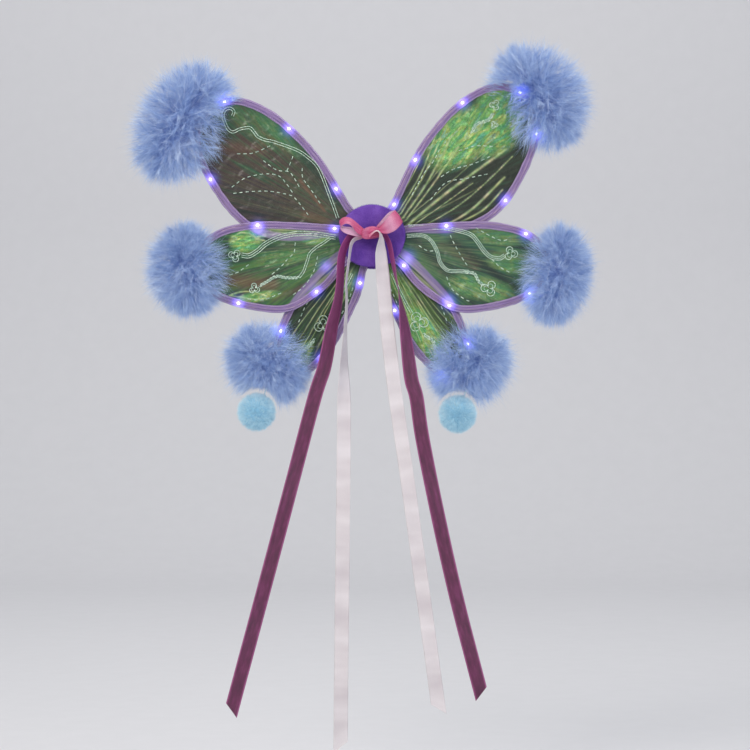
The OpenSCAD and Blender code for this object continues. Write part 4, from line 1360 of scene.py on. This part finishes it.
# The right loop turns its broad face to the front, folds at its outer end and comes back behind itself
right_low = [(7, y0 + 3, 3.2), (12, y0 + 2, 1.6), (17, y0 + 1.2, 1.6), (23.5, y0 + 0.8, 4.4), (29, y0 + 1.8, 9.4),
             (31.4, y0 + 4, 13.2), (31.2, y0 + 7, 14.6), (28, y0 + 9.5, 12), (22, y0 + 10, 8), (15, y0 + 9.5, 6),
             (8, y0 + 7.5, 5)]
right_high = [(6, y0 + 3.4, 7.0), (10, y0 + 2.6, 11.2), (14, y0 + 1.6, 15.6), (18, y0 + 1.0, 20.2),
              (21.5, y0 + 2, 24),
              (24, y0 + 4, 25.4), (22.4, y0 + 7, 26.0), (17.4, y0 + 9.5, 24.0), (12.8, y0 + 10, 19.4),
              (8.4, y0 + 9.5, 14.2), (4.6, y0 + 7.5, 9.6)]
make_loop("right", np.array(right_low), np.array(right_high), False, 4, 1.1, 0.62)


def make_knot():
    """The wrapped knot: folds that run across it, drawn in at both ends."""
    low, high = np.array([knot_low[0], bow_front, knot_low[2]]), np.array([knot_high[0], bow_rear, knot_high[2]])
    middle, half = (low + high) / 2, (high - low) / 2
    rows, sides = 60, 120
    u = np.linspace(-1, 1, rows)[:, None]
    a = np.linspace(0, 2 * np.pi, sides, endpoint=False)[None, :]
    body = np.clip(1 - np.abs(u) ** 3.4 * 0.42, 0.2, 1) * np.clip((1 - np.abs(u)) * 16, 0.3, 1) ** 0.5
    power = 0.78
    cy, cz = np.sign(np.cos(a)) * np.abs(np.cos(a)) ** power, np.sign(np.sin(a)) * np.abs(np.sin(a)) ** power
    fold = (0.07 * np.sin(5 * a + 1.6 * u + 0.6) + 0.05 * np.sin(9 * a - 2.4 * u) + 0.02 * np.sin(17 * a + 3 * u))
    swell = body * (0.94 + fold)
    x = middle[0] + half[0] * u * (1 + 0.03 * np.sin(5 * a))
    points = np.stack([x + 0 * a, middle[1] + half[1] * swell * cy, middle[2] + half[2] * swell * cz
                       + 0.8 * np.sin(2.2 * u + 0.5)], -1).reshape(-1, 3)
    faces = grid_faces(rows, sides, close_columns=True)
    faces += [list(range(sides))[::-1], list(range((rows - 1) * sides, rows * sides))]
    uv = np.stack(np.broadcast_arrays(u * 14, a * 5), -1).reshape(-1, 2)
    # The stay that sews the knot to the disc
    stay_points, stay_faces, _ = ball(np.array([-1.0, (knot_high[1] + bow_rear) / 2, 5.5]), (5.6, 5.0, 1.9),
                                      np.eye(3), 16, 24)
    faces += (stay_faces + len(points)).tolist()
    uv = np.vstack([uv, stay_points[:, [0, 1]]])
    points = np.vstack([points, stay_points])
    # The ribbon's end, rolled under the front of the knot
    turn = np.linspace(-0.4, 1.55 * np.pi, 60)
    size = np.linspace(1.0, 0.28, 60)
    roll = np.stack([3.4 + 4.4 * size * np.cos(turn + 0.5), low[1] + 0.5 + 0.5 * size,
                     -0.6 + 2.9 * size * np.sin(turn + 0.5)], 1)
    roll_points, roll_faces, roll_uv, _, _ = ribbon_mesh(roll, np.tile([0.15, -1.0, 0.1], (60, 1)), 2.6,
                                                         0.5, across=9)
    faces += [[i + len(points) for i in face] for face in roll_faces]
    # Painted shade darkens the rolled end and the underside of the knot, and "glow" paints a highlight on its left as
    # the paler inside colour.
    deep = np.concatenate([np.full(len(points), 0.0), np.full(len(roll_points), 0.35)])
    deep[:rows * sides] = 0.4 * np.clip(0.2 - np.sin(a) * 0.8 + 0 * u, 0, 1).ravel()
    glow = np.concatenate([0.28 * np.exp(-((u + 0.6) / 0.3) ** 2 + 0 * a).ravel(),
                           np.zeros(len(deep) - rows * sides)])
    uv = np.vstack([uv, roll_uv])
    points = np.vstack([points, roll_points])
    piece = make_piece("bow_centre", points, faces, bow_look,
                       attributes={"inner": glow, "deep": deep, "blush": np.zeros(len(points))}, uvs={"run": uv})
    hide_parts("bow_knot")
    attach(piece, "root")


make_knot()


# ---------------------------------------------------------------- ribbon tails

pale_look = satin_material("pale_satin", ["#d6d0d2", "#e0dbdc", "#eae6e7"],
                           ["#c8bfc4", "#d6cfd1", "#e6e0e3"], "#fff4fa",
                           roughness=0.38)


def sheer_material():
    """Sheer ribbon: a thin open weave with bright woven edges."""
    m = Shader("sheer_ribbon")
    across = m.wave(m.coordinates((1, 1, 1), uv="run"), 1.3, "X")
    along = m.wave(m.coordinates((1, 1, 1), uv="run"), 1.3, "Y")
    cloud = m.noise(m.coordinates((0.25, 0.05, 1), uv="run"), 1.0, 3)
    border = m.ramp(m.attribute("edge"), [(0.80, 0.0), (0.86, 1.0)])
    base = m.mix(border, m.ramp(cloud, [(0.3, "#431232"), (0.55, "#5f1d46"), (0.75, "#7e3264")]), "#9a4f80")
    base = m.mix(m.attribute("near_bow"), base, "#a8448a")
    weave = m.math("MAXIMUM", across, along)
    m.set(Base_Color=m.mix(m.times(weave, 0.16), base, "#84406e"), Roughness=0.45, Sheen_Weight=0.12)
    m.bsdf.inputs["Sheen Tint"].default_value = colour("#f0b8e0")
    m.set(Alpha=m.plus(0.89, m.plus(m.times(border, 0.10), m.times(weave, 0.05)),
                       clamp=True))
    return m.bump(weave, 0.3, 0.0002).material


sheer_look = sheer_material()
END_DROP = 12.0


def make_tail(name, centre, turns, gather, look, seed):
    """A ribbon tail. turns are (z, degrees out of the flat) and gather (z, width), both going down."""
    rng = np.random.default_rng(seed)
    low, high = node_box(name + "_tail")
    layer = (low[1] + high[1]) / 2
    path = curve_through([(p[0], layer + (p[2] if len(p) > 2 else 0), p[1]) for p in centre], 300)
    z = path[:, 2]
    turn = np.radians(np.interp(-z, [-a for a, _ in turns], [d for _, d in turns]))
    turn = soften(turn[:, None], 40)[:, 0]
    width = np.interp(-z, [-a for a, _ in gather], [w for _, w in gather])
    run = lengths_along(path)
    free = np.clip((-z - 100) / 120, 0, 1)
    sway = free * (1.5 * np.sin(run / 31 + rng.uniform(0, 6)) + 0.8 * np.sin(run / 13 + rng.uniform(0, 6)))
    path[:, 1] += sway * 0.7 - 0.3 * width * np.abs(np.sin(turn)) * np.clip((layer - path[:, 1]) / 6 + 1, 0, 1)
    turn = turn + free * 0.10 * np.sin(run / 24 + rng.uniform(0, 6))
    ahead = tangents(path)
    flat_side = unit(np.cross(ahead, np.tile(FRONT, (len(path), 1))))
    side = flat_side * np.cos(turn)[:, None] + FRONT * np.sin(turn)[:, None]
    points, faces, uv, inner, edge = ribbon_mesh(path, side, width, 0.35, crown=0.5, across=13)
    grid = points.reshape(len(path), -1, 3)
    q = (uv.reshape(len(path), -1, 2)[..., 0] / np.mean(width)) * 2 - 1
    corner = np.array([v.co for v in frame["nodes"][name + "_tail"].data.vertices]) / MM
    corner_x = corner[np.argmin(corner[:, 2]), 0]
    toward = np.sign((corner_x - path[-1, 0]) * side[-1, 0])
    drop = END_DROP * (1 + q * toward) / 2 * np.clip((run - run[-1] + 24) / 24, 0, 1)[:, None]
    grid += ahead[:, None, :] * drop[..., None]
    blush = np.repeat(0.9 * np.exp(-(run / 9.0) ** 2), grid.shape[1])
    near_bow = np.repeat(0.8 * np.exp(-(run / 85.0) ** 2), grid.shape[1])
    piece = make_piece(name + "_ribbon", grid.reshape(-1, 3), faces, look,
                       attributes={"inner": inner, "edge": edge, "blush": blush, "near_bow": near_bow},
                       uvs={"run": uv})
    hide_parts(name + "_tail", "tail_ends")
    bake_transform(piece)


make_tail("left_sheer", [(-19, 3), (-24, -3), (-29.5, -13), (-32.5, -26), (-33.5, -49), (-36, -70), (-42, -95),
                         (-50, -137), (-61, -172), (-92, -290), (-120, -395), (-146, -492)],
          [(5, 50), (-60, 54), (-105, 28), (-150, 4), (-600, 0)], [(5, 11), (-60, 14), (-100, 15), (-600, 15)],
          sheer_look, 111)
make_tail("left_satin", [(-8, 1), (-13, -1.8), (-18.5, -4.2), (-22, -10), (-24, -24), (-27, -49), (-26.5, -68),
                         (-28, -98), (-29.5, -137), (-29.5, -190), (-30.5, -300), (-32, -420), (-33, -530)],
          [(5, 50), (-4, 66), (-12, 74), (-50, 80), (-98, 76), (-140, 56), (-178, 12), (-230, 0), (-600, 0)],
          [(5, 8), (-12, 8.5), (-50, 10), (-98, 13), (-140, 15), (-600, 15)], pale_look, 112)
make_tail("right_satin", [(-3.5, -1.5, -13.2), (-1, 0.6, -14.2), (1.6, 2.8, -14.2), (4.4, 4.4, -14.0),
                          (7, 3.6, -13.6), (8.6, 0.6, -12.6),
                          (9.2, -5, -9), (9, -13, -5.5), (9.6, -24, -3), (12, -52, -0.5), (15.5, -92),
                          (20, -132), (25, -172),
                          (39, -270), (54, -380), (69, -490)],
          [(5, 80), (1.5, 72), (-4, 58), (-17, 38), (-45, 16), (-100, 0), (-600, 0)],
          [(5, 3.4), (1, 5), (-5, 10), (-17, 14.6), (-40, 15), (-600, 15)], pale_look, 113)
make_tail("right_sheer", [(10, 6), (14, -0.5), (18, -9), (21, -24), (25, -45), (28, -59), (32, -82), (36, -112),
                          (41, -150), (46.5, -170), (53, -214), (70, -298), (89, -382), (113, -475)],
          [(6, -58), (-30, -70), (-57, -90), (-92, -132), (-141, -170), (-185, -180), (-600, -180)],
          [(6, 9), (-30, 12), (-57, 13), (-90, 15), (-600, 15)], sheer_look, 114)


# ---------------------------------------------------------------- threads

def make_thread(side):
    """The cord of a pom-pom: two plies laid round one another."""
    low, high = node_box(side + "_pompom")
    top = joint_place(side + "_pompom_swing") + [0, 0, 0.7]
    path = resample(np.array([top, (low + high) / 2]), 60)
    run = lengths_along(path)
    ring = round_ring(8, 0.3)
    ahead = tangents(path)
    across = unit(np.cross(ahead, np.tile(FRONT, (len(path), 1))))
    up = np.cross(across, ahead)
    points, faces = [], []
    for phase in (0, math.pi):
        twist = run * 2.6 + phase
        strand = path + across * (0.24 * np.cos(twist))[:, None] + up * (0.24 * np.sin(twist))[:, None]
        p, f = tube_mesh(strand, lambda i: ring, across, up)
        faces += [[i + 480 * len(points) for i in face] for face in f]
        points.append(p)
    piece = make_piece(side + "_pompom_cord", np.vstack(points), faces, pompom_look,
                       uvs={"OFBake": np.tile([[0.12, 0.8]], (2 * len(points[0]), 1))})
    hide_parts(side + "_thread")
    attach(piece, side + "_pompom")


make_thread("left")
make_thread("right")


# ---------------------------------------------------------------- shoulder loops

def elastic_material():
    """Braided elastic: slanting plies that meet along the middle."""
    m = Shader("braided_elastic")
    ply_a = m.wave(m.coordinates((1, 1, 1), uv="run", rotation=(0, 0, 0.7)), 1.1, "X")
    ply_b = m.wave(m.coordinates((1, 1, 1), uv="run", rotation=(0, 0, -0.7)), 1.1, "X")
    ply = m.math("MAXIMUM", ply_a, ply_b)
    m.set(Base_Color=m.ramp(ply, [(0.2, "#160c26"), (0.6, "#33204f"), (1.0, "#553a7a")]), Roughness=0.7,
          Sheen_Weight=0.4)
    m.bsdf.inputs["Sheen Tint"].default_value = colour("#8a70b8")
    return m.bump(ply, 0.8, 0.0004).material


elastic_look = elastic_material()


def strap_line(rise, pivot, reach):
    """Side view of a shoulder loop as (y, z), the same line as the CAD strap's."""
    return [(pivot, 23), (pivot + 4, 0.85 * rise + 3), (pivot + 13, rise), (0.3 * reach, 0.98 * rise),
            (0.6 * reach, 0.75 * rise), (0.87 * reach, 0.35 * rise), (reach, -0.2 * rise),
            (0.87 * reach, -0.85 * rise), (0.6 * reach, -1.15 * rise), (0.3 * reach, -1.2 * rise),
            (pivot + 10, -1.1 * rise), (pivot, -23)]


def make_strap(side, rise):
    low, high = node_box(side + "_strap")
    patch_high = node_box("strap_patches")[1]
    x, width = (low[0] + high[0]) / 2, high[0] - low[0]
    pivot = joint_place(side + "_strap_swing")[1]
    reach = high[1] - 0.6
    line = strap_line(rise, pivot, reach)
    lean = 5.0 if side == "right" else 0.0
    full = [(patch_high[1] + 0.7, 20.5), (patch_high[1] + 1.2, 22.0)] + line + [
        (patch_high[1] + 1.2, -22.0), (patch_high[1] + 0.7, -20.5)]
    path = curve_through([(x + lean * max(0.0, (z - 22) / 12) * (y < 60), y, z) for y, z in full], 420)
    run = lengths_along(path)
    side_on = np.tile([1.0, 0, 0], (len(path), 1))
    points, faces, uv, _, edge = ribbon_mesh(path, side_on, width, 1.05, crown=0.12, across=15)
    grid = points.reshape(len(path), -1, 3)
    ribs = 0.07 * np.sin(run * 3.0)[:, None] * np.cos((edge.reshape(len(path), -1)) * 9)
    normal = np.cross(tangents(path), side_on)
    grid += normal[:, None, :] * ribs[..., None]
    piece = make_piece(side + "_arm_loop", grid.reshape(-1, 3), faces, elastic_look, uvs={"run": uv})
    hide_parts(side + "_strap")
    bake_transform(piece)


make_strap("left", 26)
make_strap("right", 33)


def make_patches():
    """Elastic ends folded flat and sewn down with a box of stitches."""
    low, high = node_box("strap_patches")
    points, faces, uvs = [], [], []
    starts, ends = [], []
    for x in (low[0] + 3.5, high[0] - 3.5):
        for z in (-23, 23):
            n = 15
            a, b = np.meshgrid(np.linspace(-1, 1, n), np.linspace(-1, 1, n), indexing="ij")
            soft = np.clip(1 - np.maximum(np.abs(a), np.abs(b)) ** 10, 0, 1)
            top = np.stack([x + 3.5 * a, low[1] + 0.25 + (high[1] - low[1] - 0.3) * soft ** 0.5, z + 3.5 * b],
                           -1).reshape(-1, 3)
            under = top.copy()
            under[:, 1] = low[1] - 0.2
            base = sum(len(p) for p in points)
            quads = grid_faces(n, n)
            rim = ([i * n for i in range(n)] + [(n - 1) * n + j for j in range(1, n)]
                   + [i * n + n - 1 for i in range(n - 2, -1, -1)] + list(range(n - 2, 0, -1)))
            walls = [[rim[k], rim[k] + n * n, rim[(k + 1) % len(rim)] + n * n, rim[(k + 1) % len(rim)]]
                     for k in range(len(rim))]
            both = [f[::-1] for f in quads] + [[i + n * n for i in f] for f in quads] + [w[::-1] for w in walls]
            faces += [[i + base for i in f] for f in both]
            points += [top, under]
            uvs.append(np.tile(np.stack([3.5 * a + 3.5, 3.5 * b], -1).reshape(-1, 2), (2, 1)))
            box = np.array([(-2.6, -2.6), (2.6, -2.6), (2.6, 2.6), (-2.6, 2.6), (-2.6, -2.6)])
            line = resample(box, 23)
            at = np.stack([x + line[:, 0], np.full(len(line), high[1] + 0.05), z + line[:, 1]], 1)
            starts.append(at[:-1])
            ends.append(at[:-1] + (at[1:] - at[:-1]) * 0.8)
    piece = make_piece("strap_ends", np.vstack(points), faces, elastic_look, uvs={"run": np.vstack(uvs)})
    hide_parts("strap_patches")
    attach(piece, "root")
    starts, ends = np.vstack(starts), np.vstack(ends)
    p, f = thin_rods(starts, ends, np.tile(-FRONT * 0.25, (len(starts), 1)), 0.18)
    sewing = make_piece("strap_sewing", p, f, stitch_look)
    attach(sewing, "root")


make_patches()


# ---------------------------------------------------------------- hard parts kept from the CAD

def plastic_material(name, pale, shadow):
    m = Shader(name)
    grain = m.noise(m.coordinates(), 2600, 2)
    wear = m.noise(m.coordinates(), 90, 4)
    m.set(Base_Color=m.ramp(wear, [(0.35, shadow), (0.6, pale)]), Coat_Weight=0.25, Coat_Roughness=0.3,
          Roughness=m.plus(0.36, m.times(wear, 0.14)))
    return m.bump(grain, 0.12, 0.0001).material


def metal_material(name, pale, shadow, rough, stretch=(1, 1, 1)):
    m = Shader(name)
    brushed = m.noise(m.coordinates(stretch), 700, 4)
    m.set(Base_Color=m.ramp(brushed, [(0.3, shadow), (0.7, pale)]), Metallic=1.0,
          Roughness=m.plus(rough, m.times(brushed, 0.18)))
    return m.bump(brushed, 0.15, 0.0001).material


def cast_material(name, pale, shadow, rough):
    m = Shader(name)
    cloud = m.noise(m.coordinates(), 240, 4, 0.6)
    m.set(Base_Color=m.ramp(cloud, [(0.35, shadow), (0.65, pale)]), Roughness=rough)
    return m.bump(cloud, 0.3, 0.0003).material


case_look = plastic_material("case_plastic", "#eceef0", "#d8dadd")
HARD_LOOKS = {
    "battery_case": case_look,
    "battery_cover": case_look,
    "switch_slider": plastic_material("switch_plastic", "#2b2b30", "#17171a"),
    "cover_screw": metal_material("screw_steel", "#d4d6da", "#8f9298", 0.22),
    "coin_cells": metal_material("cell_steel", "#e2e4e6", "#a8acb2", 0.2, (1, 30, 1)),
    "spring_contact": metal_material("spring_steel", "#d8c8a0", "#a89468", 0.25),
    "side_contact": metal_material("contact_nickel", "#dcd8cc", "#a6a295", 0.25),
    "led_lead": cast_material("lead_sleeve", "#2f2f36", "#1b1b20", 0.45),
    "hub_core": cast_material("glue", "#e6dcc0", "#c8b890", 0.35),
    "wire_roots": metal_material("wire_steel", "#c8ccd2", "#8a9098", 0.25, (40, 40, 1)),
}
for name in WING_NAMES:
    HARD_LOOKS[name + "_wire"] = HARD_LOOKS["wire_roots"]
for name, look in HARD_LOOKS.items():
    node = frame["nodes"][name]
    node.data.materials.clear()
    node.data.materials.append(look)


# ---------------------------------------------------------------- floor, backdrop and light

def make_stage():
    """A pale floor that curves up into the backdrop."""
    m = Shader("studio_paper")
    grain = m.noise(m.coordinates(), 30, 4)
    m.set(Base_Color=m.ramp(grain, [(0.3, "#dcdcdf"), (0.7, "#dedee1")]), Roughness=0.9)
    floor_z, back_y, radius = -610.0, 3700.0, 900.0
    profile = [(-3700.0, floor_z), (back_y - radius, floor_z)]
    profile += [(back_y - radius + radius * math.sin(a), floor_z + radius * (1 - math.cos(a)))
                for a in np.linspace(0.1, np.pi / 2, 16)]
    profile.append((back_y, 3400.0))
    points = [(x, y, z) for y, z in profile for x in (-4500.0, 4500.0)]
    faces = [f[::-1] for f in grid_faces(len(profile), 2)]
    stage = make_piece("studio_floor", points, faces, m.material)


def area_light(name, place, aim, size, power, tint):
    data = bpy.data.lights.new(name, "AREA")
    data.shape = "RECTANGLE"
    data.size, data.size_y = size
    data.energy = power
    data.color = colour(tint)[:3]
    lamp = bpy.data.objects.new(name, data)
    lamp.location = place
    lamp.rotation_euler = (Vector(aim) - Vector(place)).to_track_quat("-Z", "Y").to_euler()
    bpy.context.scene.collection.objects.link(lamp)


make_stage()
centre = (0, 0, -0.12)
area_light("key", (-1.1, -1.9, 1.3), centre, (1.2, 1.2), 38, "#fffaf4")
area_light("fill", (1.6, -1.6, 0.4), centre, (1.4, 1.4), 17, "#f4f7ff")
area_light("top", (0.0, 0.3, 1.9), centre, (1.6, 1.0), 13, "#ffffff")
area_light("backdrop_wash", (0.0, 1.5, 2.6), (0, 3.7, -0.2), (3.5, 1.4), 36, "#ffffff")

world = bpy.data.worlds.new("studio")
world.use_nodes = True
world.node_tree.nodes["Background"].inputs["Color"].default_value = colour("#f2f4f8")
world.node_tree.nodes["Background"].inputs["Strength"].default_value = 0.42
bpy.context.scene.world = world
bpy.context.scene.view_settings.view_transform = "Standard"
